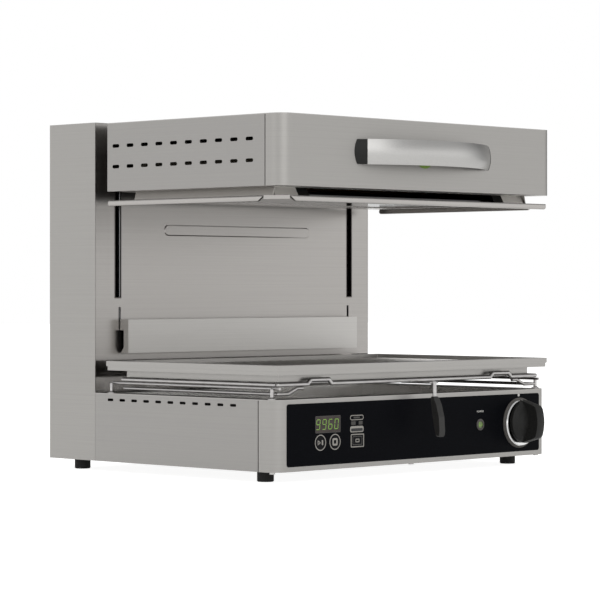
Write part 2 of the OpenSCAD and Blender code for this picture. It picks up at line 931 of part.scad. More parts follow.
// Embossed bar with round ends and sloping flanks, from its middle to its end's centre
module raised_rib(end_x, r) {
  front = col_y - rib_out;
  back = col_y + sheet / 2;
  sideways(-end_x, end_x)
    polygon([
      [back, rib_z - r], [back, rib_z + r], [col_y, rib_z + r], [front, rib_z + r - rib_flank],
      [front, rib_z - r + rib_flank], [col_y, rib_z - r]
    ]);
  for (side = [-1, 1])
    translate([side * end_x, back, rib_z])
      rotate([90, 0, 0])
        rotate_extrude()
          polygon([[0, 0], [r, 0], [r, back - col_y], [r - rib_flank, back - front], [0, back - front]]);
}

module column_front_panel() {
  z1 = body_h - sheet;
  color(steel)
    difference() {
      union() {
        slab(-inner_half, inner_half, col_y, col_y + sheet, recess_top, z1);
        slab(-inner_half, inner_half, col_y, recess_y, recess_top, recess_top + sheet);
        raised_rib(rib_half - rib_h / 2, rib_h / 2);
      }
      translate([0, 0, rib_z])
        upright(col_y + sheet - rib_out, col_y + over)
          stadium(2 * (rib_half - rib_flank - sheet), rib_h - 2 * (rib_flank + sheet));
      both_sides() {
        slab(arm_x - slot_w / 2, arm_x + slot_w / 2, col_y - over, col_y + over, slot_low, slot_high);
        slab(hook_x - hook_slot_w / 2, hook_x + hook_slot_w / 2, col_y - over, col_y + over,
          hook_z0 - gap, bar_top + hook_slot_over);
      }
    }
}

module recess_panel() {
  color(dark_steel)
    slab(-inner_half, inner_half, recess_y, recess_y + sheet, base_top - fold, recess_top + sheet);
}

module rear_cover() {
  color(steel)
    difference() {
      slab(-inner_half, inner_half, rear_y - sheet, rear_y, cover_z0, cover_z1);
      for (sx = screw_x_shares)
        for (sz = screw_z_shares)
          bar_y(screw_hole_r, sx * inner_half, rear_y - over, rear_y + over,
            cover_z0 + sz * (cover_z1 - cover_z0));
      for (i = [-rear_vent_side : rear_vent_side])
        for (j = [-rear_vent_side : rear_vent_side])
          translate([i * rear_vent_pitch_x, 0, recess_top + j * rear_vent_pitch_z])
            upright(rear_y - over, rear_y + over)
              stadium(rear_vent_w, rear_vent_h);
      bar_y(gland_bore_r + gland_wall + gap, gland_x, rear_y - over, rear_y + over, gland_z);
    }
}

// Screws of the rear cover and of the base's front edge
module case_screws() {
  color(bright_steel) {
    for (sx = screw_x_shares)
      for (sz = screw_z_shares)
        translate([sx * inner_half, rear_y, cover_z0 + sz * (cover_z1 - cover_z0)])
          rotate([-90, 0, 0])
            rotate_extrude()
              polygon([
                [0, -3 * sheet], [screw_hole_r - gap, -3 * sheet], [screw_hole_r - gap, 0],
                [screw_r, 0], [screw_r, screw_head / 2], [screw_r - sheet, screw_head],
                [0, screw_head]
              ]);
    for (x = [floor_screw_in - half_w, 0, half_w - floor_screw_in])
      translate([x, base_y + floor_screw_back, foot_h - screw_head])
        cylinder(r = screw_r, h = screw_head);
  }
}

module cable_gland() {
  nut_r = gland_bore_r + 2 * gland_wall;
  neck_r = gland_bore_r + gland_wall;
  lock_t = 4 * sheet - gap;
  color(rubber_black)
    difference() {
      translate([gland_x, rear_y, gland_z])
        rotate([-90, 0, 0]) {
          cylinder(r = nut_r, h = gland_out / 3, $fn = 6);
          cylinder(r = neck_r + sheet, h = gland_out - 2 * sheet);
          translate([0, 0, -gland_inside])
            cylinder(r = neck_r, h = gland_inside + gland_out);
          translate([0, 0, sheet - gland_inside])
            cylinder(r = nut_r, h = lock_t, $fn = 6);
        }
      bar_y(gland_bore_r, gland_x, rear_y - gland_inside - over, rear_y + gland_out + over, gland_z);
    }
}

// Lift

module guide_rods() {
  color(bright_steel)
    both_sides()
      bar_z(rod_r, rod_x, rod_y, beam_low_z, beam_high_z + beam_t);
}

module rod_beams() {
  color(dark_steel)
    for (z = [beam_low_z, beam_high_z])
      difference() {
        slab(-inner_half, inner_half, rod_y - beam_half_y, rod_y + beam_half_y, z, z + beam_t);
        both_sides()
          bar_z(rod_r + run_fit, rod_x, rod_y, z - over, z + beam_t + over);
      }
}

// Two cheeks and an axle under the upper beam at each cable
module pulley_brackets() {
  cheek_x = pulley_w / 2 + cheek_gap;
  color(dark_steel)
    both_sides() {
      for (side = [-1, 1])
        translate([cable_x, rod_y, 0])
          sideways(side * (cheek_x + cheek_t / 2) - cheek_t / 2, side * (cheek_x + cheek_t / 2) + cheek_t / 2)
            translate([-cheek_half_y, pulley_z - cheek_half_y])
              square([2 * cheek_half_y, beam_high_z - pulley_z + cheek_half_y]);
      bar_x(axle_r, cable_x - cheek_x - 2 * cheek_t, cable_x + cheek_x + 2 * cheek_t, rod_y, pulley_z);
    }
}

module lift_pulleys() {
  groove_r = pulley_r - cable_r - gap;
  color(black)
    both_sides()
      translate([cable_x, rod_y, pulley_z])
        rotate([0, 90, 0])
          rotate_extrude()
            polygon([
              [axle_r + run_fit, -pulley_w / 2], [pulley_r + pulley_flange, -pulley_w / 2],
              [pulley_r + pulley_flange, -pulley_w / 2 + sheet / 2], [groove_r, -cable_r - gap],
              [groove_r, cable_r + gap], [pulley_r + pulley_flange, pulley_w / 2 - sheet / 2],
              [pulley_r + pulley_flange, pulley_w / 2], [axle_r + run_fit, pulley_w / 2]
            ]);
}

module counterweight() {
  color(dark_steel) {
    slab(-weight_half, weight_half, weight_y, weight_y + weight_t, weight_z, weight_z + weight_h);
    slab(-cable_x - ear_half_y, cable_x + ear_half_y, cable_back_y - ear_half_y, cable_back_y + ear_half_y,
      weight_z + weight_h - ear_t, weight_z + weight_h);
  }
}

// Cable turned over each pulley
module pulley_cables() {
  color(bright_steel)
    both_sides()
      translate([cable_x, rod_y, pulley_z])
        rotate([90, 0, 90])
          rotate_extrude(angle = 180)
            translate([pulley_r, 0])
              circle(r = cable_r, $fn = 24);
}

module head_cables() {
  color(bright_steel)
    both_sides()
      bar_z(cable_r, cable_x, cable_y, cross_top, pulley_z);
}

module weight_cables() {
  color(bright_steel)
    both_sides()
      bar_z(cable_r, cable_x, cable_back_y, weight_z + weight_h, pulley_z);
}

// Black edge trim inside each lift slot
module slot_liners() {
  color(rubber_black)
    both_sides()
      difference() {
        union() {
          slab(arm_x - slot_w / 2 + gap / 2, arm_x + slot_w / 2 - gap / 2, col_y, col_y + sheet,
            slot_low + gap / 2, slot_high - gap / 2);
          slab(arm_x - slot_w / 2 - liner_t, arm_x + slot_w / 2 + liner_t, col_y + sheet, col_y + 2 * sheet,
            slot_low - liner_t, slot_high + liner_t);
        }
        slab(arm_x - slot_w / 2 + liner_t, arm_x + slot_w / 2 - liner_t, col_y - over, col_y + 2 * over,
          slot_low + liner_t, slot_high - liner_t);
      }
}

module detector_switch() {
  switch_w = 28;
  switch_h = 16;
  switch_d = 10;
  color(black)
    slab(hook_x - switch_w, hook_x - 2 * sheet, col_y + sheet, col_y + sheet + switch_d,
      hook_z0, hook_z0 + switch_h);
}

module detector_bar() {
  notch_z0 = bar_z + 2 * sheet;
  notch_z1 = hook_z0 - 2 * sheet;
  notch_d = 5 * sheet;
  color(steel) {
    slab(-bar_half, bar_half, bar_y, bar_y + sheet, bar_z, bar_top);
    slab(-bar_half, bar_half, bar_y, bar_pivot_y, bar_top - sheet, bar_top);
    slab(-bar_half, bar_half, bar_y, bar_back_low, bar_z, bar_z + sheet);
    both_sides() {
      sideways(bar_half - sheet, bar_half)
        polygon([
          [bar_y, bar_z], [bar_back_low, bar_z], [bar_back_low - notch_d, notch_z0 + notch_d],
          [bar_back_low - notch_d, notch_z1], [bar_pivot_y, notch_z1],
          [bar_pivot_y, bar_top], [bar_y, bar_top]
        ]);
      slab(bar_half - sheet, bar_half, bar_pivot_y - sheet, col_y + sheet + hook_reach, hook_z0, hook_z1);
    }
  }
}

// Head

module head_fascia() {
  color(steel)
    translate([0, front_y, 0])
      wrap_sheet(head_wrap, head_z, head_top_z - sheet);
}

module head_side_panels() {
  color(steel)
    both_sides()
      difference() {
        union() {
          slab(half_w - sheet, half_w, front_y + head_wrap + seam, head_rear, head_z, head_top_z - sheet);
          slab(half_w - fold, half_w - sheet / 2, front_y + head_wrap + seam,
            front_y + head_wrap + seam + sheet, head_inner_z + gap, head_top_z - sheet);
        }
        for (z = [head_z + head_vent_up, head_z + head_vent_up + head_vent_rise])
          vent_row(head_vent_n, head_vent_pitch, head_vent_len, head_vent_h,
            front_y + head_vent_first, z);
      }
}

module head_top() {
  color(steel)
    translate([0, front_y, head_top_z - sheet])
      linear_extrude(sheet)
        front_round(body_w, head_d, corner_r);
}

module head_rear_panel() {
  color(steel)
    slab(-inner_half, inner_half, head_rear - sheet, head_rear, head_inner_z + gap, head_top_z - sheet);
}

// Floor of the head and the flared walls round the heating elements
module heat_box() {
  slot_z0 = guard_z + sheet;
  slot_z1 = head_z - sheet;
  color(dark_steel) {
    difference() {
      translate([0, front_y + sheet + gap, head_z])
        linear_extrude(sheet)
          front_round(2 * inner_half, head_d - 2 * sheet - gap, corner_r - sheet - gap);
      slab(-heat_half + over, heat_half - over, heat_y0 + over, heat_y1 - over, head_z - over, head_z + over);
    }
    difference() {
      sideways(-heat_half, heat_half)
        polygon([
          [heat_y0, head_z + sheet / 2], [heat_y0 + sheet, head_z + sheet / 2],
          [heat_y0 + sheet - heat_flare, guard_z], [heat_y0 - heat_flare, guard_z]
        ]);
      slab(-heat_slot_half, heat_slot_half, heat_y0 - heat_flare - over, heat_y0 + over, slot_z0, slot_z1);
    }
    sideways(-heat_half, heat_half)
      polygon([
        [heat_y1, head_z + sheet / 2], [heat_y1 - sheet, head_z + sheet / 2],
        [heat_y1 - sheet + heat_flare, guard_z], [heat_y1 + heat_flare, guard_z]
      ]);
    both_sides()
      upright(heat_y0 - heat_flare, heat_y1 + heat_flare)
        polygon([
          [heat_half, head_z + sheet / 2], [heat_half - sheet, head_z + sheet / 2],
          [heat_half - sheet + heat_flare / 2, guard_z], [heat_half + heat_flare / 2, guard_z]
        ]);
  }
}

// Outline of a rim from u0 to u1, with one round and one slanted end
module rim_outline(u0, u1, slant) {
  polygon([
    [u0 + slant, guard_low], [u0, guard_z], [u1 - guard_lip / 2, guard_z],
    [u1 - guard_lip / 2, guard_low]
  ]);
  translate([u1 - guard_lip / 2, (guard_z + guard_low) / 2])
    circle(r = guard_lip / 2);
}

// Flat flange with rolled rims, cut front corners and a lip along each cut
module guard_frame() {
  rear = head_rear - sheet;
  open_half = heat_half - glass_in;
  rim_z = (guard_z + guard_low) / 2;
  front_half = half_w - guard_cut_x;
  roll_r = guard_roll / 2;
  slant = 0.75 * guard_cut_x;
  cut = norm([guard_cut_x, guard_cut_y]);
  color(steel) {
    translate([0, 0, guard_z - sheet])
      linear_extrude(sheet)
        difference() {
          polygon([
            [-front_half, front_y + roll_r], [front_half, front_y + roll_r],
            [half_w - roll_r, front_y + guard_cut_y - roll_r], [half_w - roll_r, rear],
            [roll_r - half_w, rear], [roll_r - half_w, front_y + guard_cut_y - roll_r]
          ]);
          translate([-open_half, heat_y0 + glass_in])
            square([2 * open_half, heat_y1 - heat_y0 - 2 * glass_in]);
        }
    intersection() {
      translate([0, front_y + roll_r, rim_z])
        sideways(-front_half, front_half)
          rotate(90)
            stadium(guard_lip, guard_roll);
      upright(front_y - over, front_y + guard_roll + over)
        rim_outline(-front_half, front_half, slant);
    }
    both_sides() {
      intersection() {
        translate([half_w - roll_r, 0, rim_z])
          upright(front_y + guard_cut_y, rear)
            rotate(90)
              stadium(guard_lip, guard_roll);
        sideways(half_w - guard_roll - over, half_w + over)
          rim_outline(front_y + guard_cut_y, rear, slant);
      }
      translate([front_half, front_y, guard_z - guard_corner_lip])
        rotate([0, 0, atan2(guard_cut_y, guard_cut_x)])
          cube([cut, sheet, guard_corner_lip]);
    }
  }
}

module heater_glass() {
  inset = heat_flare;
  color(glass_black)
    slab(-heat_half + inset, heat_half - inset, heat_y0 + inset, heat_y1 - inset, guard_z, guard_z + glass_t);
}

// Shallow dish over the elements, open below
module reflector() {
  z0 = head_inner_z;
  x1 = heat_half + reflect_in;
  y0 = heat_y0 - reflect_in;
  y1 = heat_y1 + reflect_in;
  color(bright_steel)
    difference() {
      slab(-x1, x1, y0, y1, z0, z0 + reflect_h);
      slab(-x1 + sheet, x1 - sheet, y0 + sheet, y1 - sheet, z0 - over, z0 + reflect_h - sheet);
      for (i = [0 : element_n - 1])
        bar_x(element_r + run_fit, -x1 - over, x1 + over, element_place(i), z0 + reflect_h / 2);
    }
}

function element_place(i) = heat_y0 + (i + 0.5) * (heat_y1 - heat_y0) / element_n;

module heating_elements() {
  x1 = heat_half + 1.5 * reflect_in;
  color([0.45, 0.3, 0.22])
    for (i = [0 : element_n - 1])
      bar_x(element_r, -x1, x1, element_place(i), head_inner_z + reflect_h / 2);
}

module insulation() {
  color([0.86, 0.84, 0.78])
    slab(-heat_half, heat_half, heat_y0, heat_y1, head_inner_z + reflect_h,
      head_inner_z + reflect_h + wool_h);
}

// Outline of the handle's ends seen from the front, out to x1 in the middle
module bowed_ends(x1) {
  intersection() {
    square([2 * x1, handle_h], center = true);
    union() {
      square([2 * (x1 - handle_bow), handle_h], center = true);
      for (side = [-1, 1])
        translate([side * (x1 - bow_r), 0])
          circle(r = bow_r);
    }
  }
}

// Bowed strap with a crowned front, an arc in plan
module head_handle() {
  color(bright_steel)
    intersection() {
      translate([0, handle_y, handle_mid_z])
        rotate([0, 0, -180])
          rotate_extrude(angle = 180, $fn = 240)
            translate([handle_arc - crown_r, 0])
              intersection() {
                difference() {
                  circle(r = crown_r, $fn = 120);
                  circle(r = crown_r - handle_t, $fn = 120);
                }
                translate([crown_r / 2, 0])
                  square([crown_r + 2 * over, handle_h], center = true);
              }
      translate([0, 0, handle_mid_z])
        upright(front_y - handle_out - over, front_y)
          bowed_ends(handle_half - handle_end);
    }
}

// Black end pieces that carry the strap on the head's face
module handle_ends() {
  seam_x = handle_half - handle_end + gap;
  cap_h = handle_h - 2 * cap_sink;
  cap_crown = crown_r - cap_sink;
  cap_edge = handle_t / 2;
  post_r = handle_arc - handle_t - handle_crown - gap;
  color(black)
    both_sides() {
      intersection() {
        translate([0, handle_y, handle_mid_z])
          rotate([0, 0, -90])
            rotate_extrude(angle = 90, $fn = 240)
              translate([handle_arc - crown_r, 0])
                intersection() {
                  circle(r = cap_crown, $fn = 120);
                  translate([crown_r / 2, 0])
                    square([crown_r + 2 * over, cap_h], center = true);
                }
        translate([0, 0, handle_mid_z])
          upright(front_y - handle_out, front_y)
            intersection() {
              difference() {
                bowed_ends(handle_half);
                bowed_ends(seam_x);
              }
              translate([0, -handle_h])
                square([2 * handle_half, 2 * handle_h]);
            }
      }
      translate([0, 0, handle_z + cap_sink + cap_edge])
        linear_extrude(cap_h - 2 * cap_edge)
          intersection() {
            translate([0, handle_y])
              circle(r = post_r, $fn = 240);
            polygon([
              [handle_half - post_w, front_y], [seam_x - handle_end, front_y - handle_out / 3],
              [seam_x - handle_end / 2, front_y - handle_out], [handle_half - handle_end / 2, front_y]
            ]);
          }
    }
}

module badge_disc() {
  color([0.3, 0.36, 0.2])
    bar_y(badge_r, 0, front_y - badge_t, front_y, handle_z + handle_h / 2);
}

// Arms that pass through the lift slots, with a foot plate on the head
module lift_arms() {
  foot_half = 14;
  foot_t = 4;
  color(dark_steel)
    both_sides() {
      slab(arm_x - arm_t / 2, arm_x + arm_t / 2, head_rear, cross_y, arm_z, arm_z + arm_h);
      slab(arm_x - foot_half, arm_x + foot_half, head_rear, head_rear + foot_t, arm_z, arm_z + arm_h);
    }
}

module carriage() {
  bore_r = rod_r + run_fit + bush_wall + run_fit;
  color(dark_steel)
    difference() {
      union() {
        slab(-arm_x - block_half / 2, arm_x + block_half / 2, cross_y, cross_y + cross_t, cross_z, cross_top);
        both_sides()
          slab(rod_x - block_half, rod_x + block_half, cross_y + cross_t / 2, rod_y + block_half,
            arm_z, arm_z + block_h);
      }
      both_sides()
        bar_z(bore_r, rod_x, rod_y, arm_z - over, arm_z + block_h + over);
    }
}

module rod_bushes() {
  color(bronze)
    both_sides()
      difference() {
        bar_z(rod_r + run_fit + bush_wall, rod_x, rod_y, arm_z, arm_z + block_h);
        bar_z(rod_r + run_fit, rod_x, rod_y, arm_z - over, arm_z + block_h + over);
      }
}

// Tray

module pan_outline(inset) {
  translate([0, (pan_y0 + pan_y1) / 2])
    round_rect(2 * (pan_half - inset), pan_y1 - pan_y0 - 2 * inset, pan_r - inset);
}

// Sheet pan with a wide rim that is folded down outside
module tray_pan() {
  upper_z = tray_top - band_upper_h;
  lower_half = tray_half - band_step;
  color(steel) {
    difference() {
      translate([0, 0, pan_z])
        linear_extrude(tray_top - pan_z)
          pan_outline(0);
      translate([0, 0, pan_z + sheet])
        linear_extrude(tray_top - pan_z)
          pan_outline(sheet);
    }
    difference() {
      union() {
        slab(-tray_half, tray_half, tray_y0, tray_y1, upper_z, tray_top);
        slab(-lower_half, lower_half, tray_y0 + band_step, tray_y1 - band_step, band_z, upper_z + sheet);
      }
      slab(-tray_half + sheet + band_step, tray_half - sheet - band_step, tray_y0 + sheet + band_step,
        tray_y1 - sheet - band_step, band_z - over, tray_top - sheet);
      translate([0, 0, band_z])
        linear_extrude(2 * band_h)
          pan_outline(sheet / 2);
    }
  }
}

// Round bars from front to rear, on two cross bars that stand on feet
module tray_grid() {
  x1 = pan_half - sheet - grid_in - grid_r;
  n = floor(2 * x1 / grid_pitch);
  y0 = pan_y0 + sheet + grid_in;
  y1 = pan_y1 - sheet - grid_in;
  end_share = 0.12;
  color([0.3, 0.29, 0.28]) {
    for (i = [0 : n])
      bar_y(grid_r, -x1 + i * 2 * x1 / n, y0 + pan_r / 2, y1 - pan_r / 2, grid_z);
    for (y = [y0 + end_share * (y1 - y0), y1 - end_share * (y1 - y0)]) {
      bar_x(grid_r, -x1 - grid_r, x1 + grid_r, y, grid_z - 1.2 * grid_r);
      for (x = [-x1, x1])
        bar_z(grid_r, x, y, pan_z + sheet, grid_z - grid_r / 2);
    }
  }
}

// Rack

module rack_rails() {
  color(bright_steel)
    both_sides()
      bar_y(rack_wire_r, rail_x, rack_y0 + rack_wire_r + gap, rack_y1, rail_z);
}

// One raised stop of the front bar
module stop_bump(x) {
  top_z = rail_z + stop_rise;
  bar_xz(rack_wire_r, rack_y0, x - stop_half - stop_slope, rail_z, x - stop_half, top_z);
  bar_xz(rack_wire_r, rack_y0, x + stop_half + stop_slope, rail_z, x + stop_half, top_z);
  bar_x(rack_wire_r, x - stop_half, x + stop_half, rack_y0, top_z);
  for (side = [-1, 1]) {
    ball(rack_wire_r, x + side * stop_half, rack_y0, top_z);
    ball(rack_wire_r, x + side * (stop_half + stop_slope), rack_y0, rail_z);
  }
}

// Front bar with two stops, and the wire bracket that carries the grip
module rack_front_bar() {
  inner = stop_x - stop_half - stop_slope;
  outer = stop_x + stop_half + stop_slope;
  color(bright_steel) {
    bar_x(rack_wire_r, -inner, inner, rack_y0, rail_z);
    both_sides() {
      bar_x(rack_wire_r, outer, rail_x, rack_y0, rail_z);
      ball(rack_wire_r, rail_x, rack_y0, rail_z);
      stop_bump(stop_x);
      bar_y(hinge_r, bracket_half, hinge_y, bracket_y1, hinge_z);
      ball(hinge_r, bracket_half, bracket_y1, hinge_z);
    }
    bar_x(hinge_r, -hinge_pin_half, hinge_pin_half, hinge_y, hinge_z);
  }
}

module rack_cross_wires() {
  step = (rack_y1 - bracket_y1) / (cross_n - 1);
  color(bright_steel)
    for (i = [0 : cross_n - 1])
      bar_x(cross_r, -rail_x + rack_wire_r + gap, rail_x - rack_wire_r - gap,
        bracket_y1 + i * step - (i == 0 ? 0 : cross_r), cross_z2);
}

// Strap rolled round the hinge pin, running down into the grip
module grip_strap() {
  x1 = knuckle_half;
  z0 = grip_top - grip_overlap;
  color(bright_steel)
    difference() {
      union() {
        bar_x(knuckle_r, -x1, x1, hinge_y, hinge_z);
        slab(-x1, x1, hinge_y - knuckle_r, hinge_y - knuckle_r + strap_t, z0, hinge_z);
      }
      bar_x(hinge_r + run_fit, -x1 - over, x1 + over, hinge_y, hinge_z);
    }
}

// Outline of the grip in Y and Z, leaning forward and bowed
module grip_side() {
  yc = hinge_y - knuckle_r + strap_t / 2;
  t = rack_grip_t;
  polygon([
    [yc - 0.35 * t, grip_top], [yc + 0.35 * t, grip_top],
    [yc + 0.5 * t - 0.28 * rack_grip_lean, grip_top - 0.3 * rack_grip_l],
    [yc + 0.5 * t - 0.62 * rack_grip_lean, grip_top - 0.7 * rack_grip_l],
    [yc + 0.5 * t - rack_grip_lean, grip_top - rack_grip_l],
    [yc - 0.3 * t - rack_grip_lean, grip_top - rack_grip_l],
    [yc - 0.5 * t - 0.95 * rack_grip_lean, grip_top - 0.85 * rack_grip_l],
    [yc - 0.7 * t - 0.7 * rack_grip_lean, grip_top - 0.5 * rack_grip_l],
    [yc - 0.6 * t - 0.35 * rack_grip_lean, grip_top - 0.2 * rack_grip_l]
  ]);
}

module rack_grip() {
  w = rack_grip_w;
  r = w / 3;
  color(black)
    difference() {
      intersection() {
        sideways(-w / 2, w / 2)
          grip_side();
        translate([0, 0, grip_top - rack_grip_l / 2])
          upright(hinge_y - 2 * rack_grip_lean - rack_grip_t, hinge_y + rack_grip_t)
            round_rect(w, rack_grip_l, r);
      }
      slab(-knuckle_half - gap / 2, knuckle_half + gap / 2, hinge_y - knuckle_r - gap / 2,
        hinge_y - knuckle_r + strap_t + gap / 2, grip_top - grip_overlap - gap, grip_top + over);
    }
}

// Legs of the wire stand with flared feet and round tops
module stand_legs() {
  color(bright_steel)
    both_sides()
      for (y = [leg_y0, leg_y1])
        union() {
          translate([leg_x, y, base_top])
            rotate_extrude()
              polygon([
                [0, 0], [leg_foot_r, 0], [leg_foot_r, leg_foot_h / 3], [leg_r, leg_foot_h],
                [leg_r, leg_h - leg_r], [0, leg_h - leg_r]
              ]);
          ball(leg_r, leg_x, y, base_top + leg_h - leg_r);
        }
}

// Upper and lower side wires, the lower ones with a link to the front leg and a raised finger
module stand_wires() {
  low_x = stand_x - stand_wire_r - low_wire_r - gap;
  finger_z = stand_z + stand_wire_r - low_wire_r;
  bend_r = bend_share * low_wire_r;
  color(bright_steel)
    both_sides() {
      bar_y(stand_wire_r, stand_x, leg_y0 - wire_over, leg_y1 + leg_r, stand_z);
      bar_y(low_wire_r, low_x, finger_y, low_y1, low_z);
      ball(bend_r, low_x, finger_y, low_z);
      bar_x(stand_wire_r, low_x, leg_x - leg_r - gap, leg_y0, low_z);
      bar_x(low_wire_r, finger_x0, low_x, finger_y, low_z);
      ball(bend_r, finger_x0, finger_y, low_z);
      bar_xz(low_wire_r, finger_y, finger_x1, finger_z, finger_x0, low_z);
      ball(bend_r, finger_x1, finger_y, finger_z);
      bar_x(low_wire_r, finger_x2, finger_x1, finger_y, finger_z);
    }
}

feet();
base_floor();
base_fascia();
base_side_panels();
base_top();
control_panel();
display_window();
start_key();
stop_key();
zone_key();
lamp_bezel();
lamp_lens();
dial_ring();
dial_trim();
heat_regulator();
knob();
knob_shaft();
control_board();
column_wrap();
column_front_panel();
recess_panel();
rear_cover();
case_screws();
cable_gland();
guide_rods();
rod_beams();
pulley_brackets();
lift_pulleys();
counterweight();
pulley_cables();
head_cables();
weight_cables();
slot_liners();
detector_switch();
detector_bar();
head_fascia();
head_side_panels();
head_top();
head_rear_panel();
heat_box();
guard_frame();
heater_glass();
heating_elements();
reflector();
insulation();
head_handle();
handle_ends();
badge_disc();
lift_arms();
carriage();
rod_bushes();
tray_pan();
tray_grid();
rack_rails();
rack_front_bar();
rack_cross_wires();
grip_strap();
rack_grip();
stand_legs();
stand_wires();
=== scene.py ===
# %% [markdown]
# A salamander grill is a low counter grill that heats from above: a fixed base with the
# controls, a column behind, and a heated head that rides up and down over a tray.
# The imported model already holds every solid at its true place, in metres, with z up and
# the front towards minus y. This script loads it as a fixed frame, gives every solid the
# finish of the real thing, and adds what is too thin for solids: the printed marks, the
# lit digits, the rings on the keys and the word over the lamp. It also draws the straight
# runs of the lifting cables again, because their length changes.

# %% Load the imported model
from math import atan2, pi, radians

import bpy
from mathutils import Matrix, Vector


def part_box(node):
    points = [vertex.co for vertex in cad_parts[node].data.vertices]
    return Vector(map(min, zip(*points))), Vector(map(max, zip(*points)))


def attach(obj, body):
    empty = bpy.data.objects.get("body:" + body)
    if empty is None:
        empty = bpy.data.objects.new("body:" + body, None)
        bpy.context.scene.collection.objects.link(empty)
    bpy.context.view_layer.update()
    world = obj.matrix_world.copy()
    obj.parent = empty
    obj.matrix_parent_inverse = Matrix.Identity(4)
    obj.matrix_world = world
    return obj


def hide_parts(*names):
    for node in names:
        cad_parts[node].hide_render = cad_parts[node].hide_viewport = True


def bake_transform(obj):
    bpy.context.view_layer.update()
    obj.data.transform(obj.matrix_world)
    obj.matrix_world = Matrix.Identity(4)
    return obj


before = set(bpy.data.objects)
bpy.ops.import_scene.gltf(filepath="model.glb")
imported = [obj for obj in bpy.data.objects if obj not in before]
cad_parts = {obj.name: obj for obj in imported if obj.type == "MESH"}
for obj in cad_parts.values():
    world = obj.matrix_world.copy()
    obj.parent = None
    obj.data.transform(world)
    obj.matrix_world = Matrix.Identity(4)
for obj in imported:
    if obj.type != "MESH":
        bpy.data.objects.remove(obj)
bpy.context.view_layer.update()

# %% [markdown]
# Colours are written as sRGB hex values, the way a paint chart gives them, and Blender
# works in linear light, so one function turns one into the other. Nodes could be joined
# by hand in the editor. One small function that adds a node, with its settings and what
# feeds its sockets, lets a whole tree be read here instead.

# %% Colours and nodes
def colour(paint):
    """A hex colour as Blender's linear red, green, blue and alpha."""
    shares = [int(paint[i:i + 2], 16) / 255 for i in (1, 3, 5)]
    return [s / 12.92 if s <= 0.04045 else ((s + 0.055) / 1.055) ** 2.4 for s in shares] + [1.0]


def add(tree, kind, feeds=None, stops=None, **settings):
    """One node in a tree, with its settings and its colour stops. Each socket named in
    feeds takes another node's output or a plain value."""
    node = tree.nodes.new(kind)
    for name, setting in settings.items():
        setattr(node, name, setting)
    for socket, source in (feeds or {}).items():
        if isinstance(source, bpy.types.NodeSocket):
            tree.links.new(source, node.inputs[socket])
        else:
            node.inputs[socket].default_value = source
    for i, (place, paint) in enumerate(stops or []):
        node.color_ramp.elements[i].position = place
        node.color_ramp.elements[i].color = colour(paint)
    return node


print("steel grey in linear light:", [round(c, 3) for c in colour("#A8A6A3")])

# %% [markdown]
# The camera stands where the photographer stood: low, 4 m away, with a long lens, looking
# along the diagonal so that the front and the left side show. It could be tilted to aim
# at the grill, but a level camera keeps the upright edges parallel, and a small shift
# puts the frame where the photograph has it.

# %% Camera
camera_turn = radians(-45.82)
bpy.ops.object.select_all(action="DESELECT")
bpy.ops.object.camera_add(location=(-2.8907, -2.7826, 0.2754),
                          rotation=(pi / 2, 0, camera_turn))
camera = bpy.context.object
camera.data.sensor_width = 36
camera.data.lens = 157.2
camera.data.shift_y = -0.022
camera.data.clip_end = 60
bpy.context.scene.camera = camera
bpy.context.scene.view_settings.view_transform = "Standard"
print("lens:", round(camera.data.lens, 1), "mm")

# %% [markdown]
# The photograph is a studio shot on white. A picture of a studio could light the scene,
# but a few nodes do it too and are easily tuned. The world shows itself as white to the
# camera and through glass, and lights the rest more softly. In the steel it is brightest
# at the horizon, as pale studio walls are, and dims towards the ceiling and towards a
# dark screen at the right rear, which is what shades the far end of the handle.

# %% Studio world
soft_glow = 0.72
wall_foot, wall_head, wall_glow, ceiling_glow = 0.03, 0.35, 1.36, 0.62
screen_way, screen_edge, screen_middle, screen_glow = (0.86, 0.5, 0.0), 0.5, 0.92, 0.2
world = bpy.data.worlds.new("studio")
bpy.context.scene.world = world
world.use_nodes = True
sky = world.node_tree
sky.nodes.clear()
ray = add(sky, "ShaderNodeLightPath")
way = add(sky, "ShaderNodeTexCoord")
height = add(sky, "ShaderNodeSeparateXYZ", {"Vector": way.outputs["Generated"]})
walls = add(sky, "ShaderNodeMapRange",
            {"Value": height.outputs["Z"], "From Min": wall_foot, "From Max": wall_head,
             "To Min": wall_glow, "To Max": ceiling_glow}, interpolation_type="SMOOTHSTEP")
aside = add(sky, "ShaderNodeVectorMath", {0: way.outputs["Generated"], 1: screen_way},
            operation="DOT_PRODUCT")
screen = add(sky, "ShaderNodeMapRange",
             {"Value": aside.outputs["Value"], "From Min": screen_edge,
              "From Max": screen_middle, "To Min": 1.0, "To Max": screen_glow},
             interpolation_type="SMOOTHSTEP")
mirrored = add(sky, "ShaderNodeMath",
               {0: walls.outputs["Result"], 1: screen.outputs["Result"]}, operation="MULTIPLY")
level = add(sky, "ShaderNodeMix", {"Factor": ray.outputs["Is Glossy Ray"], "A": soft_glow,
                                   "B": mirrored.outputs[0]})
seen = add(sky, "ShaderNodeMath", {0: ray.outputs["Is Camera Ray"],
                                   1: ray.outputs["Is Transmission Ray"]}, operation="MAXIMUM")
level = add(sky, "ShaderNodeMix",
            {"Factor": seen.outputs[0], "A": level.outputs["Result"], "B": 1.0})
light = add(sky, "ShaderNodeBackground",
            {"Color": colour("#FFFFFF"), "Strength": level.outputs["Result"]})
add(sky, "ShaderNodeOutputWorld", {"Surface": light.outputs["Background"]})
print("nodes in the world:", len(sky.nodes))

# %% [markdown]
# The floor is a big pale sheet that keeps the soft shadow. White paint alone would throw
# too much light up under the grill, so the sheet is a light grey, and a little light of
# its own, which only the camera and mirrors see, brings it to white away from the grill.

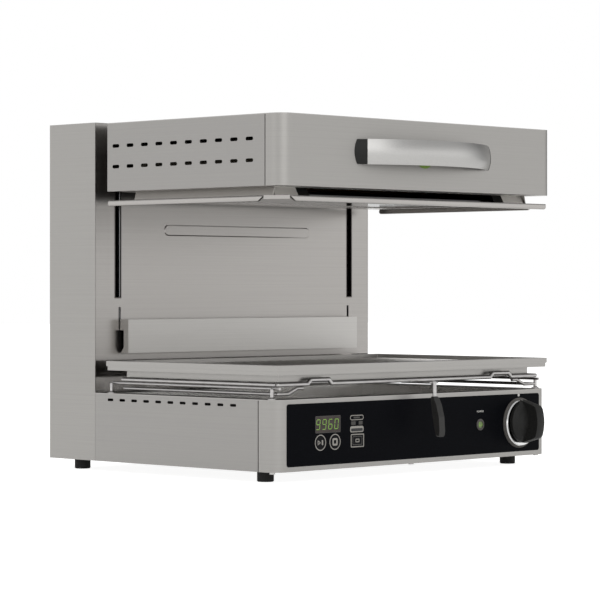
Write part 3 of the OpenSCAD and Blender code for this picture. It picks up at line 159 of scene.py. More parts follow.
# %% Studio floor
def new_finish(name, paint, metallic, rough, more=None):
    """A named material, its node tree and its shader."""
    finish = bpy.data.materials.new(name)
    finish.use_nodes = True
    shader = finish.node_tree.nodes["Principled BSDF"]
    shader.inputs["Base Color"].default_value = colour(paint)
    shader.inputs["Metallic"].default_value = metallic
    shader.inputs["Roughness"].default_value = rough
    for socket, value in (more or {}).items():
        shader.inputs[socket].default_value = value
    return finish, finish.node_tree, shader


metal, not_metal = 1.0, 0.0
mirrored_glow, camera_glow = 0.5, 0.4
bpy.ops.object.select_all(action="DESELECT")
bpy.ops.mesh.primitive_plane_add(size=24, location=(0, 0, 0))
floor = bpy.context.object
floor.name = "floor"
paper, tree, shader = new_finish("studio_floor", "#D2D2D1", not_metal, 0.55,
                                 {"Specular IOR Level": 0.2})
ray = add(tree, "ShaderNodeLightPath")
seen = add(tree, "ShaderNodeMath", {0: ray.outputs["Is Camera Ray"],
                                    1: ray.outputs["Is Glossy Ray"]}, operation="MAXIMUM")
glow = add(tree, "ShaderNodeMath", {0: seen.outputs[0], 1: mirrored_glow}, operation="MULTIPLY")
lift = add(tree, "ShaderNodeMath", {0: ray.outputs["Is Camera Ray"], 1: camera_glow,
                                    2: glow.outputs[0]}, operation="MULTIPLY_ADD")
shader.inputs["Emission Color"].default_value = colour("#FFFFFF")
tree.links.new(lift.outputs[0], shader.inputs["Emission Strength"])
floor.data.materials.append(paper)
print("floor:", [round(side, 1) for side in floor.dimensions[:2]], "m")

# %% [markdown]
# Three soft boxes light the grill: the key in front, a weak fill at the left, and one
# behind that draws the upper edges. An area lamp is the nearest thing to a soft box, and
# its size sets how soft the shadow is. Each faces a point in the middle of the grill.
# The table gives the place in metres, the size in metres and the power in watts.

# %% Lamps
aim_z = 0.25
lamps = [("key", (-1.2, -2.4, 1.9), 2.2, 18), ("fill", (-3.0, 0.6, 1.6), 2.0, 4),
         ("back", (1.4, 1.8, 2.4), 1.6, 12)]
for name, place, size, power in lamps:
    bpy.ops.object.select_all(action="DESELECT")
    bpy.ops.object.light_add(type="AREA", location=place)
    lamp = bpy.context.object
    lamp.name = "lamp_" + name
    lamp.data.size = size
    lamp.data.energy = power
    x, y, z = place
    tilt = atan2((x * x + y * y) ** 0.5, z - aim_z)
    lamp.rotation_euler = (tilt, 0, atan2(y, x) + pi / 2)
print("lamps:", len(lamps))

# %% [markdown]
# No sheet, moulding or casting has one even tone. A photograph of each material could be
# wrapped round it, but noise on Object coordinates needs no unwrapping and keeps its real
# size on every solid. It varies a finish softly between two close colours and two
# roughnesses, and may raise its grains a little. The solids' meshes are left alone, and
# only their material slots change.

# %% Grained finishes
# Nearly all of the noise lies between these two values.
noise_low, noise_high = 0.3, 0.7
dressed = set()


def dress(finish, *nodes):
    """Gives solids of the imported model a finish."""
    dressed.update(nodes)
    for node in nodes:
        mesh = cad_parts[node].data
        mesh.materials.clear()
        mesh.materials.append(finish)


def grained(name, dark, pale, grain, metallic, rough, bump=0.0, more=None, on=()):
    """A finish for the solids in on. grain is the size of one grain in mm along x, y and z,
    bump its height in mm, and rough the two roughnesses."""
    finish, tree, shader = new_finish(name, pale, metallic, rough[1], more)
    place = add(tree, "ShaderNodeTexCoord")
    size = add(tree, "ShaderNodeMapping",
               {"Vector": place.outputs["Object"], "Scale": [1000 / side for side in grain]})
    noise = add(tree, "ShaderNodeTexNoise", {"Vector": size.outputs["Vector"], "Scale": 1.0,
                                             "Detail": 3.0, "Roughness": 0.6})
    tone = add(tree, "ShaderNodeValToRGB", {"Fac": noise.outputs["Fac"]},
               stops=[(noise_low, dark), (noise_high, pale)])
    gloss = add(tree, "ShaderNodeMapRange",
                {"Value": noise.outputs["Fac"], "From Min": noise_low, "From Max": noise_high,
                 "To Min": rough[0], "To Max": rough[1]})
    tree.links.new(tone.outputs["Color"], shader.inputs["Base Color"])
    tree.links.new(gloss.outputs["Result"], shader.inputs["Roughness"])
    if bump:
        relief = add(tree, "ShaderNodeBump", {"Height": noise.outputs["Fac"], "Strength": 0.6,
                                              "Distance": bump / 1000})
        tree.links.new(relief.outputs["Normal"], shader.inputs["Normal"])
    dress(finish, *on)
    return finish


print("grains of 1.5 mm:", round(1000 / 1.5), "in a metre")

# %% [markdown]
# Nearly all of the grill is stainless steel sheet with a satin finish: a belt has drawn
# fine lines along the sheet. The eye sees grey metal with soft, wide reflections and faint
# streaks along the belt's way. Real lines could be cut into the mesh, but noise drawn out
# along the sheet does it without a single face. They are about 0.1 mm apart, too fine to
# show at this size, so they are drawn 1.5 mm apart, long along x and y on the upright
# sheets and long along x on the tops. On the tray and the guard frame it is 1.2 mm.

# %% Satin stainless sheet
line_relief = 0.004
sheets = [
    ("satin_stainless_upright", "#9F9D9A", "#A6A4A1", (260, 260, 1.5), (0.36, 0.44),
     ["base_fascia", "column_wrap", "head_fascia", "rear_cover", "head_rear_panel"]),
    ("satin_stainless_side", "#9A9896", "#A09E9B", (40, 260, 1.5), (0.36, 0.44),
     ["base_side_panels", "head_side_panels"]),
    ("satin_stainless_top", "#A3A19E", "#ABA9A6", (260, 1.5, 40), (0.32, 0.4), ["head_top"]),
    ("satin_stainless_tray", "#A09E9B", "#A8A6A3", (220, 220, 1.2), (0.3, 0.38), ["tray_pan"]),
    ("satin_stainless_guard", "#A19E9B", "#ABA8A5", (220, 220, 1.2), (0.2, 0.28),
     ["guard_frame"]),
    # The detector bar is painted paler than the other sheets, as painted light where the tray
    # and head shade it.
    ("satin_stainless_bar_painted_light", "#B5B3B0", "#BDBBB8", (260, 260, 1.5), (0.34, 0.42),
     ["detector_bar"]),
    ("satin_stainless_bright", "#B6B5B3", "#C4C3C1", (20, 20, 20), (0.22, 0.32),
     ["case_screws"])]
for name, dark, pale, grain, rough, nodes in sheets:
    grained(name, dark, pale, grain, metal, rough, line_relief, on=nodes)
print("satin finishes:", len(sheets), "on", len(dressed), "solids")

# %% [markdown]
# Four more steels differ in how they were worked. The column's front has a finer satin,
# the recess behind the tray is polished nearly to a mirror and painted paler as painted
# light for the shade there, the tray's grid is painted paler as painted light where it is
# seen edge on, and what the covers hide is dull, darker steel as it left the mill. They
# could have trees of their own, but other grains, gloss and relief in the same recipe tell
# them apart.

# %% Polished, drawn and mill steel
grained("satin_stainless_column", "#A09D9A", "#A7A4A1", (300, 300, 1.5), metal, (0.28, 0.34),
        0.003, on=["column_front_panel"])
# The recess's paler colours are painted light.
grained("polished_stainless_recess_painted_light", "#A39F9B", "#BDB9B5", (30, 30, 240), metal, (0.12, 0.2),
        0.003, on=["recess_panel"])
# The grid's paler colours are painted light.
grained("satin_stainless_grid_painted_light", "#CBC9C6", "#D6D4D1", (3, 60, 3), metal, (0.34, 0.44),
        0.006, on=["tray_grid"])
grained("mill_steel_inside", "#5E5B58", "#6E6B68", (30, 30, 30), metal, (0.4, 0.5), 0.01,
        on=["base_floor", "rod_beams", "pulley_brackets", "slot_liners", "lift_arms",
            "carriage", "reflector"])
print("solids dressed so far:", len(dressed))

# %% [markdown]
# The heat box's front wall leans over the guard frame and hardly gets light. It is a
# separate strip of sheet, made dull and painted pale, as painted light in place of the
# light it misses, and the whole box is painted a little paler than the other sheets for the
# same reason. For 22 mm past each end of the slot in its middle, the wall is painted black
# as painted shade, which carries the slot's dark shade further. The box is one solid with
# one slot for a material, so the finish itself tells the wall and the black band from the
# rest, by their places along x, y and z.

# %% Front wall of the heat box
# In metres: how far the flared sides stand out past the wall, how far in from the wall's
# ends the painted black shade band stops, and a little more than a sheet's thickness.
flare_out, soot_in, skin = 0.0245, 0.047, 0.0014
# The box's steel is painted a little paler than the other sheets, as painted light.
flare_steel = grained("satin_stainless_flare_painted_light_and_shade", "#B2AFAC", "#BAB7B3", (220, 220, 1.5), metal,
                      (0.3, 0.4), line_relief, on=["heat_box"])
tree = flare_steel.node_tree
shader = tree.nodes["Principled BSDF"]
grain_tone = shader.inputs["Base Color"].links[0].from_socket
grain_gloss = shader.inputs["Roughness"].links[0].from_socket
wall_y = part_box("heating_elements")[0].y
wall_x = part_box("heat_box")[1].x - flare_out
soot_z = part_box("heat_box")[1].z - skin
place = add(tree, "ShaderNodeTexCoord")
axes = add(tree, "ShaderNodeSeparateXYZ", {"Vector": place.outputs["Object"]})
aside = add(tree, "ShaderNodeMath", {0: axes.outputs["X"]}, operation="ABSOLUTE")
within = add(tree, "ShaderNodeMath", {0: aside.outputs[0], 1: wall_x}, operation="LESS_THAN")
forward = add(tree, "ShaderNodeMath", {0: axes.outputs["Y"], 1: wall_y}, operation="LESS_THAN")
ahead = add(tree, "ShaderNodeMath", {0: within.outputs[0], 1: forward.outputs[0]},
            operation="MULTIPLY")
sooty = add(tree, "ShaderNodeMath", {0: aside.outputs[0], 1: wall_x - soot_in},
            operation="LESS_THAN")
below = add(tree, "ShaderNodeMath", {0: axes.outputs["Z"], 1: soot_z}, operation="LESS_THAN")
for limit in (below, ahead):
    sooty = add(tree, "ShaderNodeMath", {0: sooty.outputs[0], 1: limit.outputs[0]},
                operation="MULTIPLY")
# Pale grey on the front wall is painted light, and black beside the slot is painted shade.
tone = add(tree, "ShaderNodeMix", {"Factor": ahead.outputs[0], "A": grain_tone,
                                   "B": colour("#F3F1EE")}, data_type="RGBA")
tone = add(tree, "ShaderNodeMix", {"Factor": sooty.outputs[0], "A": tone.outputs["Result"],
                                   "B": colour("#353433")}, data_type="RGBA")
gloss = add(tree, "ShaderNodeMix", {"Factor": ahead.outputs[0], "A": grain_gloss, "B": 0.62})
tree.links.new(tone.outputs["Result"], shader.inputs["Base Color"])
tree.links.new(gloss.outputs["Result"], shader.inputs["Roughness"])
print("front wall ahead of y", round(wall_y, 4), "and within x", round(wall_x, 4))

# %% [markdown]
# The base's top is one pressing with the drip well. The well is polished, so that fat
# wipes off, which leaves it more of a mirror than the satin rim, and it is painted paler
# as painted light for the little light that gets under the rack. Its outer side, inside
# the base, is painted near black as painted shade. As with the heat box, the places along x
# z tell the three apart, and the mesh stays whole. The rim's lines are 1.5 mm apart.

# %% Drip well
# In metres: the rim's width beside the well, and half of the sheet's thickness.
rim, half_sheet = 0.027, 0.0006
grains_in_a_metre = (4, 670, 25)
satin_rough, polished_rough = 0.36, 0.26
well_finish, tree, shader = new_finish("satin_stainless_top_painted_light_and_shade", "#A8A6A3", metal,
                                       satin_rough)
place = add(tree, "ShaderNodeTexCoord")
size = add(tree, "ShaderNodeMapping",
           {"Vector": place.outputs["Object"], "Scale": grains_in_a_metre})
grain = add(tree, "ShaderNodeTexNoise",
            {"Vector": size.outputs["Vector"], "Scale": 1.0, "Detail": 3.0})
satin = add(tree, "ShaderNodeValToRGB", {"Fac": grain.outputs["Fac"]},
            stops=[(noise_low, "#A3A19E"), (noise_high, "#ABA9A6")])
# The well's pale colours are painted light.
polished = add(tree, "ShaderNodeValToRGB", {"Fac": grain.outputs["Fac"]},
               stops=[(noise_low, "#DEDCD9"), (noise_high, "#E9E7E4")])
axes = add(tree, "ShaderNodeSeparateXYZ", {"Vector": place.outputs["Object"]})
well_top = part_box("base_top")[1].z - skin
well_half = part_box("base_top")[1].x - rim
sunk = add(tree, "ShaderNodeMath", {0: axes.outputs["Z"], 1: well_top}, operation="LESS_THAN")
aside = add(tree, "ShaderNodeMath", {0: axes.outputs["X"]}, operation="ABSOLUTE")
outer = add(tree, "ShaderNodeMath", {0: aside.outputs[0], 1: well_half + half_sheet},
            operation="GREATER_THAN")
hidden = add(tree, "ShaderNodeMath", {0: sunk.outputs[0], 1: outer.outputs[0]},
             operation="MULTIPLY")
tone = add(tree, "ShaderNodeMix", {"Factor": sunk.outputs[0], "A": satin.outputs["Color"],
                                   "B": polished.outputs["Color"]}, data_type="RGBA")
# Near black on the well's outer side is painted shade.
tone = add(tree, "ShaderNodeMix", {"Factor": hidden.outputs[0], "A": tone.outputs["Result"],
                                   "B": colour("#2A2928")}, data_type="RGBA")
gloss = add(tree, "ShaderNodeMapRange",
            {"Value": sunk.outputs[0], "To Min": satin_rough, "To Max": polished_rough})
tree.links.new(tone.outputs["Result"], shader.inputs["Base Color"])
tree.links.new(gloss.outputs["Result"], shader.inputs["Roughness"])
dress(well_finish, "base_top")
print("well half width:", round(well_half * 1000, 1), "mm")

# %% [markdown]
# The rack and its stand are drawn wire, chrome plated, and the lift rods are ground and
# chromed bar. Chrome is nearly a mirror, and what betrays the wire is a slight unevenness
# in the gloss where it was polished by hand. One even roughness would look like paint, so
# the gloss varies here in grains of 9 mm, and along the rods in the rings of the grinding.

# %% Chrome and ground bar
grained("chrome_plated_wire", "#B4B2B1", "#C2C0BF", (9, 9, 9), metal, (0.3, 0.4), 0.01,
        on=["rack_rails", "rack_front_bar", "rack_cross_wires", "grip_strap", "stand_legs",
            "stand_wires"])
grained("bright_chromed_trim", "#DADADA", "#E8E8E8", (12, 12, 12), metal, (0.06, 0.12), 0.002,
        on=["dial_trim"])
grained("ground_chromed_rod", "#BDBDBE", "#CFCFCF", (20, 20, 0.8), metal, (0.08, 0.14), 0.002,
        on=["guide_rods", "knob_shaft"])
low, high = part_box("rack_rails")
print("rack rails:", round((high.y - low.y) * 1000), "mm long")

# %% [markdown]
# The black parts are not one black. The knob and the handle's ends are moulded plastic
# with a fine matt grain, the rack's grip is the same with a softer sheen and a paler colour,
# a painted light for the shade on its side, the dial and the lamp's bezel are grey, and the
# feet are rubber, which is rougher and a little paler. A grain of 1.2 to 2 mm stands for
# the mould's finer one, which wouldn't show.

# %% Plastics and rubber
matt, sheen = {"Specular IOR Level": 0.2}, {"Specular IOR Level": 0.3}
grained("moulded_black_nylon", "#1C1C1B", "#262625", (1.2, 1.2, 1.2), not_metal, (0.38, 0.5),
        0.02, matt, on=["knob", "handle_ends", "cable_gland"])
grained("black_rubber_foot", "#2D2D2D", "#383837", (2, 2, 2), not_metal, (0.55, 0.75), 0.04,
        matt, on=["feet"])
# The grip's paler colours are painted light.
grained("moulded_grip_nylon_painted_light", "#262625", "#31302F", (1.6, 1.6, 1.6), not_metal, (0.34, 0.44),
        0.02, sheen, on=["rack_grip"])
grained("grey_dial_plastic", "#514E4B", "#5E5B58", (1.5, 1.5, 1.5), not_metal, (0.42, 0.52),
        0.01, matt, on=["dial_ring", "lamp_bezel"])
print("solids dressed so far:", len(dressed))

# %% [markdown]
# The control panel is a printed glass plate: near black, glossy, and printed from behind
# with rows of fine dots 2.4 mm apart, which the eye reads as a faint weave. Modelled dots
# would be thousands of tiny pieces, so they are drawn in the material as cells of that
# size on the panel's own plane.

# %% Printed black glass
dot_pitch = 2.4
panel_glass, tree, shader = new_finish("printed_black_glass", "#0B0C10", not_metal, 0.45,
                                       {"IOR": 1.5, "Specular IOR Level": 0.03})
place = add(tree, "ShaderNodeTexCoord")
pitch = add(tree, "ShaderNodeMapping", {"Vector": place.outputs["Object"],
                                        "Scale": (1000 / dot_pitch, 1.0, 1000 / dot_pitch)})
dots = add(tree, "ShaderNodeTexVoronoi",
           {"Vector": pitch.outputs["Vector"], "Scale": 1.0, "Randomness": 0.25})
tone = add(tree, "ShaderNodeValToRGB", {"Fac": dots.outputs["Distance"]},
           stops=[(0.15, "#121319"), (0.5, "#05060A")])
tree.links.new(tone.outputs["Color"], shader.inputs["Base Color"])
dress(panel_glass, "control_panel")
print("dots in a metre:", round(1000 / dot_pitch))

# %% [markdown]
# The keys are black glass like the panel, without its dots. The display's window is
# smoked brown, the lamp's lens is grey plastic, not lit, with green glints in random spots
# as a painted reflection of the green lamp inside, and the badge is a plain disc of green
# enamel. Glass and a lens could let light through, but behind these it is dark, so a colour
# with a gloss gives the same.

# %% Keys, window, lens and badge
grained("printed_black_key", "#090A0D", "#101115", (3, 3, 3), not_metal, (0.14, 0.2), 0.0,
        {"IOR": 1.5, "Specular IOR Level": 0.08}, on=["start_key", "stop_key", "zone_key"])
grained("smoked_display_window", "#413A36", "#4E4642", (14, 14, 9), not_metal, (0.16, 0.24),
        0.0, {"IOR": 1.5, "Specular IOR Level": 0.2}, on=["display_window"])
# The green in the lens is painted reflection.
grained("lamp_lens_painted_glints", "#5E5B56", "#86B04A", (3.2, 3.2, 3.2), not_metal, (0.2, 0.3),
        0.0, {"IOR": 1.49}, on=["lamp_lens"])
grained("plain_enamel_badge", "#6E8C3A", "#7F9E46", (6, 6, 6), not_metal, (0.25, 0.35), 0.01,
        on=["badge_disc"])
print("solids dressed so far:", len(dressed))

# %% [markdown]
# Behind the covers and under the head are the working materials: a cast iron
# counterweight, bronze bushes and pulleys, ceramic switch bodies, a green circuit board,
# mineral wool, the heating tubes and the dark glass that they shine through. Most of them
# show only when a cover is off. A tree for each would be wasted, so they share the recipe.

# %% Working materials
grained("cast_iron_weight", "#3A3937", "#514F4C", (3, 3, 3), 0.9, (0.55, 0.75), 0.15,
        on=["counterweight"])
grained("sintered_bronze", "#7D6136", "#9A7B48", (1.5, 1.5, 1.5), metal, (0.35, 0.5), 0.03,
        on=["rod_bushes", "lift_pulleys"])
grained("steatite_ceramic", "#B9AF9C", "#CBC2B1", (4, 4, 4), not_metal, (0.3, 0.45), 0.02,
        on=["heat_regulator", "detector_switch"])
grained("green_circuit_board", "#14401F", "#1E5A2C", (6, 6, 6), not_metal, (0.3, 0.42), 0.02,
        on=["control_board"])
grained("pressed_mineral_wool", "#6B6557", "#857E6E", (2.5, 2.5, 2.5), not_metal, (0.85, 1.0),
        0.5, on=["insulation"])
grained("heating_tube_quartz", "#8A5F48", "#A97A5C", (30, 5, 5), not_metal, (0.3, 0.45), 0.05,
        on=["heating_elements"])
grained("dark_glass_ceramic", "#0C0B0C", "#161415", (12, 12, 12), not_metal, (0.08, 0.14), 0.0,
        {"IOR": 1.53}, on=["heater_glass"])
print("solids dressed so far:", len(dressed))

# %% [markdown]
# The lifting cables are strands of wire laid round each other. Every strand could be a
# curve, but at 3 mm across only the lay is seen. Slanted bands across the cable, 2.4 mm
# apart, carry it in light and dark and as relief.

# %% Twisted steel cable
lay_pitch, lay_width, lay_slant, strand_relief = 2.4, 2.0, 0.6, 0.0003
cable, tree, shader = new_finish("twisted_steel_cable", "#8C8B89", metal, 0.35)
place = add(tree, "ShaderNodeTexCoord")
lay = add(tree, "ShaderNodeMapping",
          {"Vector": place.outputs["Object"], "Rotation": (lay_slant, lay_slant, 0),
           "Scale": (1000 / lay_width, 1000 / lay_width, 1000 / lay_pitch)})
strand = add(tree, "ShaderNodeTexWave", {"Vector": lay.outputs["Vector"], "Scale": 0.5,
                                         "Distortion": 0.4}, bands_direction="Z")
tone = add(tree, "ShaderNodeValToRGB", {"Fac": strand.outputs["Fac"]},
           stops=[(0.1, "#4C4B4A"), (0.7, "#A3A2A0")])
relief = add(tree, "ShaderNodeBump", {"Height": strand.outputs["Fac"], "Strength": 0.8,
                                      "Distance": strand_relief})
tree.links.new(tone.outputs["Color"], shader.inputs["Base Color"])
tree.links.new(relief.outputs["Normal"], shader.inputs["Normal"])
dress(cable, "pulley_cables", "head_cables", "weight_cables")
print("lay of the cable:", lay_pitch, "mm")

# %% [markdown]
# As the head goes down, each cable gets longer between its pulley and the head and shorter
# between its pulley and the counterweight. A stiff solid can't show that, so the four
# straight runs are drawn again as tubes in the same places. A tube has rings only at its
# two ends, so it stretches evenly in between.

# %% Cable runs that change length
for node, body in (("head_cables", "head"), ("weight_cables", "counterweight")):
    low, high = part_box(node)
    cable_r = (high.y - low.y) / 2
    y = (low.y + high.y) / 2
    for side, x in (("left", low.x + cable_r), ("right", high.x - cable_r)):
        bpy.ops.object.select_all(action="DESELECT")
        bpy.ops.mesh.primitive_cylinder_add(vertices=32, radius=cable_r, depth=high.z - low.z,
                                            location=(x, y, (low.z + high.z) / 2))
        run = bpy.context.object
        bpy.ops.object.transform_apply(location=True, rotation=True, scale=True)
        run.name = f"{body}_cable_{side}"
        run.data.materials.append(cable)
        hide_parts(node)
        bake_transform(run)
    print(body, "cables:", round((high.z - low.z) * 1000, 1), "mm at rest")

# %% [markdown]
# The head's pull handle is a bent strap of bright satin steel between two black plastic
# ends. It was ground to a satin finish. Lines along one direction would follow only a part
# of the bent strap, so its grain has the same size along x, y and z.

# %% Handle strap
grained("ground_handle_steel", "#B3B2B0", "#BAB9B7", (1.6, 1.6, 1.6), metal, (0.3, 0.36),
        0.006, on=["head_handle"])
low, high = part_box("head_handle")
print("handle:", round((high.x - low.x) * 1000), "mm wide")
print("solids dressed:", len(dressed), "of", len(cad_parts))

# %% [markdown]
# The marks on the panel are screen printed, a thin layer of ink on the glass. They need
# four inks: white, pale, one that is dim because it isn't lit, and a dark one printed
# over the pale. The ink stands off the glass by a hair, ink_rise, and its back lies just
# inside the glass, by ink_sink, so that no gap shows. Both are in metres.

# %% Inks
ink_rise, ink_sink = 0.00015, 0.00002
inks = {}
for tone, dark, pale in (("pale", "#9C9892", "#ABA7A0"), ("white", "#D6D4CF", "#E6E4E0"),
                         ("dim", "#34322F", "#403D3A"), ("dark", "#121316", "#1A1B1F")):
    inks[tone] = grained(f"printed_{tone}_ink", dark, pale, (3, 3, 3), not_metal, (0.4, 0.5))
print("inks:", list(inks))

# %% [markdown]
# A picture on the glass could carry the marks, but shapes stay sharp and need no picture.
# Each mark is a flat plane whose corners are rounded with a vertex bevel; an outline is
# the same plane with an inset whose inner face is deleted. A short extrusion towards the
# front makes the ink's thickness.

# %% How a mark is made
def front_of(node):
    """The y of a solid's foremost face."""
    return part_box(node)[0].y


def lay_plane(x, z, width, height, on, turn=0.0):
    """A flat upright plane with its back just inside the front of a solid."""
    bpy.ops.object.select_all(action="DESELECT")
    bpy.ops.mesh.primitive_plane_add(size=1, rotation=(pi / 2, turn, 0),
                                     location=(x, front_of(on) + ink_sink, z))
    bpy.context.object.scale = (width, height, 1)
    bpy.ops.object.transform_apply(location=True, rotation=True, scale=True)


def cut_ink(corner, steps, stroke=0.0, rise=ink_rise):
    """Rounds the corners of the flat piece just made, leaves only its edge where a stroke
    is given, and thickens it towards the front."""
    bpy.ops.object.mode_set(mode="EDIT")
    bpy.ops.mesh.select_all(action="SELECT")
    bpy.ops.mesh.bevel(offset=corner, segments=steps, affect="VERTICES")
    if stroke:
        bpy.ops.mesh.select_all(action="SELECT")
        bpy.ops.mesh.inset(thickness=stroke)
        bpy.ops.mesh.delete(type="FACE")
    bpy.ops.mesh.select_all(action="SELECT")
    bpy.ops.mesh.extrude_region_move(TRANSFORM_OT_translate={"value": (0, -rise, 0)})
    bpy.ops.mesh.select_all(action="SELECT")
    bpy.ops.mesh.normals_make_consistent(inside=False)
    bpy.ops.object.mode_set(mode="OBJECT")


print("panel's front at y", round(front_of("control_panel"), 4))

# %% [markdown]
# Every printed piece is settled in the same way. Its move and turn are applied, so that
# its place is in its mesh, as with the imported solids. Blender could hold it to another
# object as its child, but a piece that rides on a body also moves with it in the model.

# %% How a piece is settled
def settle(name, body, finish):
    """Names the piece just made, gives it its finish and lets it ride on a body."""
    piece = bpy.context.object
    bpy.ops.object.transform_apply(location=True, rotation=True, scale=True)
    piece.name = name
    piece.data.name = name
    piece.data.materials.clear()
    piece.data.materials.append(finish)
    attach(piece, body)
    return piece


print("bodies that carry print:", ["cabinet", "start_key", "stop_key", "zone_key"])

# %% [markdown]
# The panel carries the display's border, a tick over the lamp, and small pills and blocks
# for the settings. Their sides were measured on the photograph, so they are given as left,
# right, low and high in mm, and the piece is worked out from them. Corner and stroke are
# in mm too, and a mark on another mark is two layers thick.

# %% Marks on the panel
round_steps = 8


def mark(name, left, right, low, high, corner, stroke, ink,
         on="control_panel", body="cabinet", layers=1):
    """A printed patch, or an outline where there is a stroke, on the front of a solid."""
    lay_plane((left + right) / 2000, (low + high) / 2000,
              (right - left) / 1000, (high - low) / 1000, on)
    cut_ink(corner / 1000, round_steps, stroke / 1000, ink_rise * layers)
    settle(name, body, inks[ink])


mark("window_border", -221.6, -169.8, 68.2, 92.4, 1.6, 0.9, "dim", "display_window")
mark("power_tick", 226.8, 231.2, 107.3, 110.9, 0.4, 0, "white")
mark("pill_one", -149.7, -121.6, 84.1, 91.4, 3.4, 1.1, "pale")
mark("pill_one_bar", -142.6, -129.4, 86.6, 89.0, 1.0, 0, "dim")
mark("dim_block_left", -147.6, -138.3, 77.3, 82.6, 0.6, 0, "dim")
mark("dim_block_right", -131.9, -123.6, 77.3, 82.6, 0.6, 0, "dim")
mark("pill_two", -149.7, -121.6, 66.7, 75.5, 3.0, 0, "pale")
mark("pill_two_slot", -147.8, -123.5, 68.1, 72.4, 1.6, 0, "dark", layers=2)
print("ink is", round(ink_rise * 1000, 2), "mm thick")

# %% [markdown]
# The three keys are printed too, and their marks ride on the keys, because they move when
# a key is pressed. They are placed from the middle of their key and not from the panel,
# so they stay on it. A ring is a square whose corners are rounded until they nearly meet,
# and the zone key's outline leaves more room at its right than at its left.

# %% Marks on the keys
ring_in, ring_round, outline_left, outline_right, outline_in = 0.5, 0.999, 0.4, 1.4, 0.2


def middle_of(node):
    """The x and z of a solid's middle, and half of its width and height, in mm."""
    low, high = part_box(node)
    return ((low.x + high.x) * 500, (low.z + high.z) * 500,
            (high.x - low.x) * 500, (high.z - low.z) * 500)


def key_mark(name, key, left, right, half_height, corner, stroke, ink="pale"):
    """A mark on a key, its sides given in mm from the key's middle."""
    x, z = middle_of(key)[:2]
    mark(name, x + left, x + right, z - half_height, z + half_height, corner, stroke, ink,
         key, key)


for key in ("start_key", "stop_key"):
    ring_r = middle_of(key)[2] - ring_in
    key_mark(key + "_ring", key, -ring_r, ring_r, ring_r, ring_r * ring_round, 1.3)
key_mark("stop_sign", "stop_key", -5.3, 5.3, 5.3, 2.6, 2.7)
key_mark("pause_sign", "start_key", 2.6, 5.4, 3.6, 1.0, 0)
half_width, half_height = middle_of("zone_key")[2:]
key_mark("zone_outline", "zone_key", outline_left - half_width, half_width - outline_right,
         half_height - outline_in, 1.6, 1.4)
key_mark("zone_inner", "zone_key", -10.6, 9.4, 6.4, 1.6, 1.1, "dim")
key_mark("zone_core", "zone_key", -4.4, 3.6, 2.6, 1.2, 1.2)
print("key rings:", round(2 * ring_r, 1), "mm across")

# %% [markdown]
# The play sign is a hollow triangle. A plane has a corner too many for it, so it starts
# as a circle of three points, and the same steps round and open it.

# %% Play sign
sign_r, sign_left, sign_corner, sign_stroke = 0.0046, 0.0034, 0.0009, 0.0013
x, z = (side / 1000 for side in middle_of("start_key")[:2])
bpy.ops.object.select_all(action="DESELECT")
bpy.ops.mesh.primitive_circle_add(
    vertices=3, radius=sign_r, fill_type="NGON", rotation=(pi / 2, pi / 2, 0),
    location=(x - sign_left, front_of("start_key") + ink_sink, z))
bpy.ops.object.transform_apply(location=True, rotation=True, scale=True)
cut_ink(sign_corner, 4, sign_stroke)
play_sign = settle("play_sign", "start_key", inks["pale"])
print("play sign:", [round(v * 1000, 2) for v in play_sign.dimensions], "mm")

# %% [markdown]
# The display shows four green digits of seven segments. A segment is a small lit bar with
# pointed ends. It is lit from behind, which leaves it nearly even in tone, so it gets a
# little light of its own and a fine grain of the lit cells.

# %% Lit green
cells_in_a_metre = 700.0
lit_green, tree, shader = new_finish(
    "lit_green_segment", "#8DB84B", not_metal, 0.4,
    {"Emission Color": colour("#8FC046"), "Emission Strength": 0.05})
place = add(tree, "ShaderNodeTexCoord")
cells = add(tree, "ShaderNodeTexNoise",
            {"Vector": place.outputs["Object"], "Scale": cells_in_a_metre})
tone = add(tree, "ShaderNodeValToRGB", {"Fac": cells.outputs["Fac"]},
           stops=[(noise_low, "#84B53E"), (noise_high, "#9ED05A")])
tree.links.new(tone.outputs["Color"], shader.inputs["Base Color"])
print("lit cells:", round(1000 / cells_in_a_metre, 1), "mm")

# %% [markdown]
# A typed number would have the wrong shapes, so each digit is built from bars. A bar is a
# thin plane whose corners are cut to a point by a bevel in one step. The bars that stand
# upright lean by the slant of such displays, and those of a digit are joined to one piece.

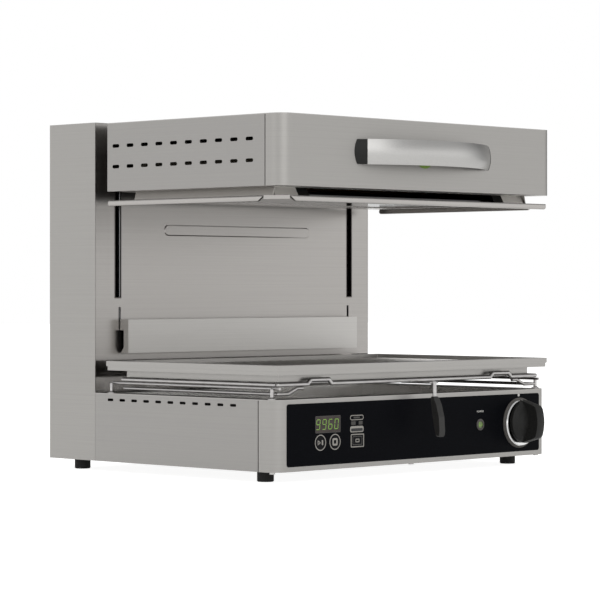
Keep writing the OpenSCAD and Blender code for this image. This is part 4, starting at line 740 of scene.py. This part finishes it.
# %% Digits
segment_long, segment_wide, segment_gap, slant = 0.0062, 0.0009, 0.0007, 0.11
first_x, digit_pitch, point_share = -0.2157, 0.0125, 0.48
digit_z = middle_of("display_window")[1] / 1000
step = segment_long + segment_gap
segments = {"top": (0, step, 0), "middle": (0, 0, 0), "bottom": (0, -step, 0),
            "upper_left": (-step / 2, step / 2, 1), "upper_right": (step / 2, step / 2, 1),
            "lower_left": (-step / 2, -step / 2, 1), "lower_right": (step / 2, -step / 2, 1)}
unlit = {"9": "lower_left", "6": "upper_right", "0": "middle"}
for number, sign in enumerate("9960"):
    bars = []
    for segment, (across, up, upright) in segments.items():
        if segment != unlit[sign]:
            lay_plane(first_x + digit_pitch * number + across + slant * up, digit_z + up,
                      segment_long, segment_wide, "display_window",
                      (pi / 2 + slant) if upright else 0)
            cut_ink(segment_wide * point_share, 1)
            bars.append(bpy.context.object)
    bpy.ops.object.select_all(action="DESELECT")
    for bar in bars:
        bar.select_set(True)
    bpy.context.view_layer.objects.active = bars[0]
    bpy.ops.object.join()
    settle(f"digit_{number + 1}", "cabinet", lit_green)
print("digits at z", round(digit_z, 4))

# %% [markdown]
# The word over the lamp is a plain one that any switch may carry. It is typed as a text
# object, which is quicker than drawing letters, given the ink's thickness, and made a
# mesh before it is put in its place.

# %% Word over the lamp
word_size, word_z, letter_space = 0.0042, 0.0857, 1.15
bpy.ops.object.select_all(action="DESELECT")
bpy.ops.object.text_add(rotation=(pi / 2, 0, 0))
word = bpy.context.object
word.data.body = "POWER"
word.data.size = word_size
word.data.extrude = ink_rise / 2
word.data.align_x = "CENTER"
word.data.space_character = letter_space
bpy.ops.object.convert(target="MESH")
word = bpy.context.object
word_y = front_of("control_panel") - ink_rise / 2
word.location = (middle_of("lamp_bezel")[0] / 1000, word_y, word_z)
settle("power_word", "cabinet", inks["white"])
print("word is", round(word.dimensions.x * 1000, 1), "mm wide")

# %% [markdown]
# Last, the script ends. Thin ink hardly changes the size of the imported model.

# %% The end
print("the end")
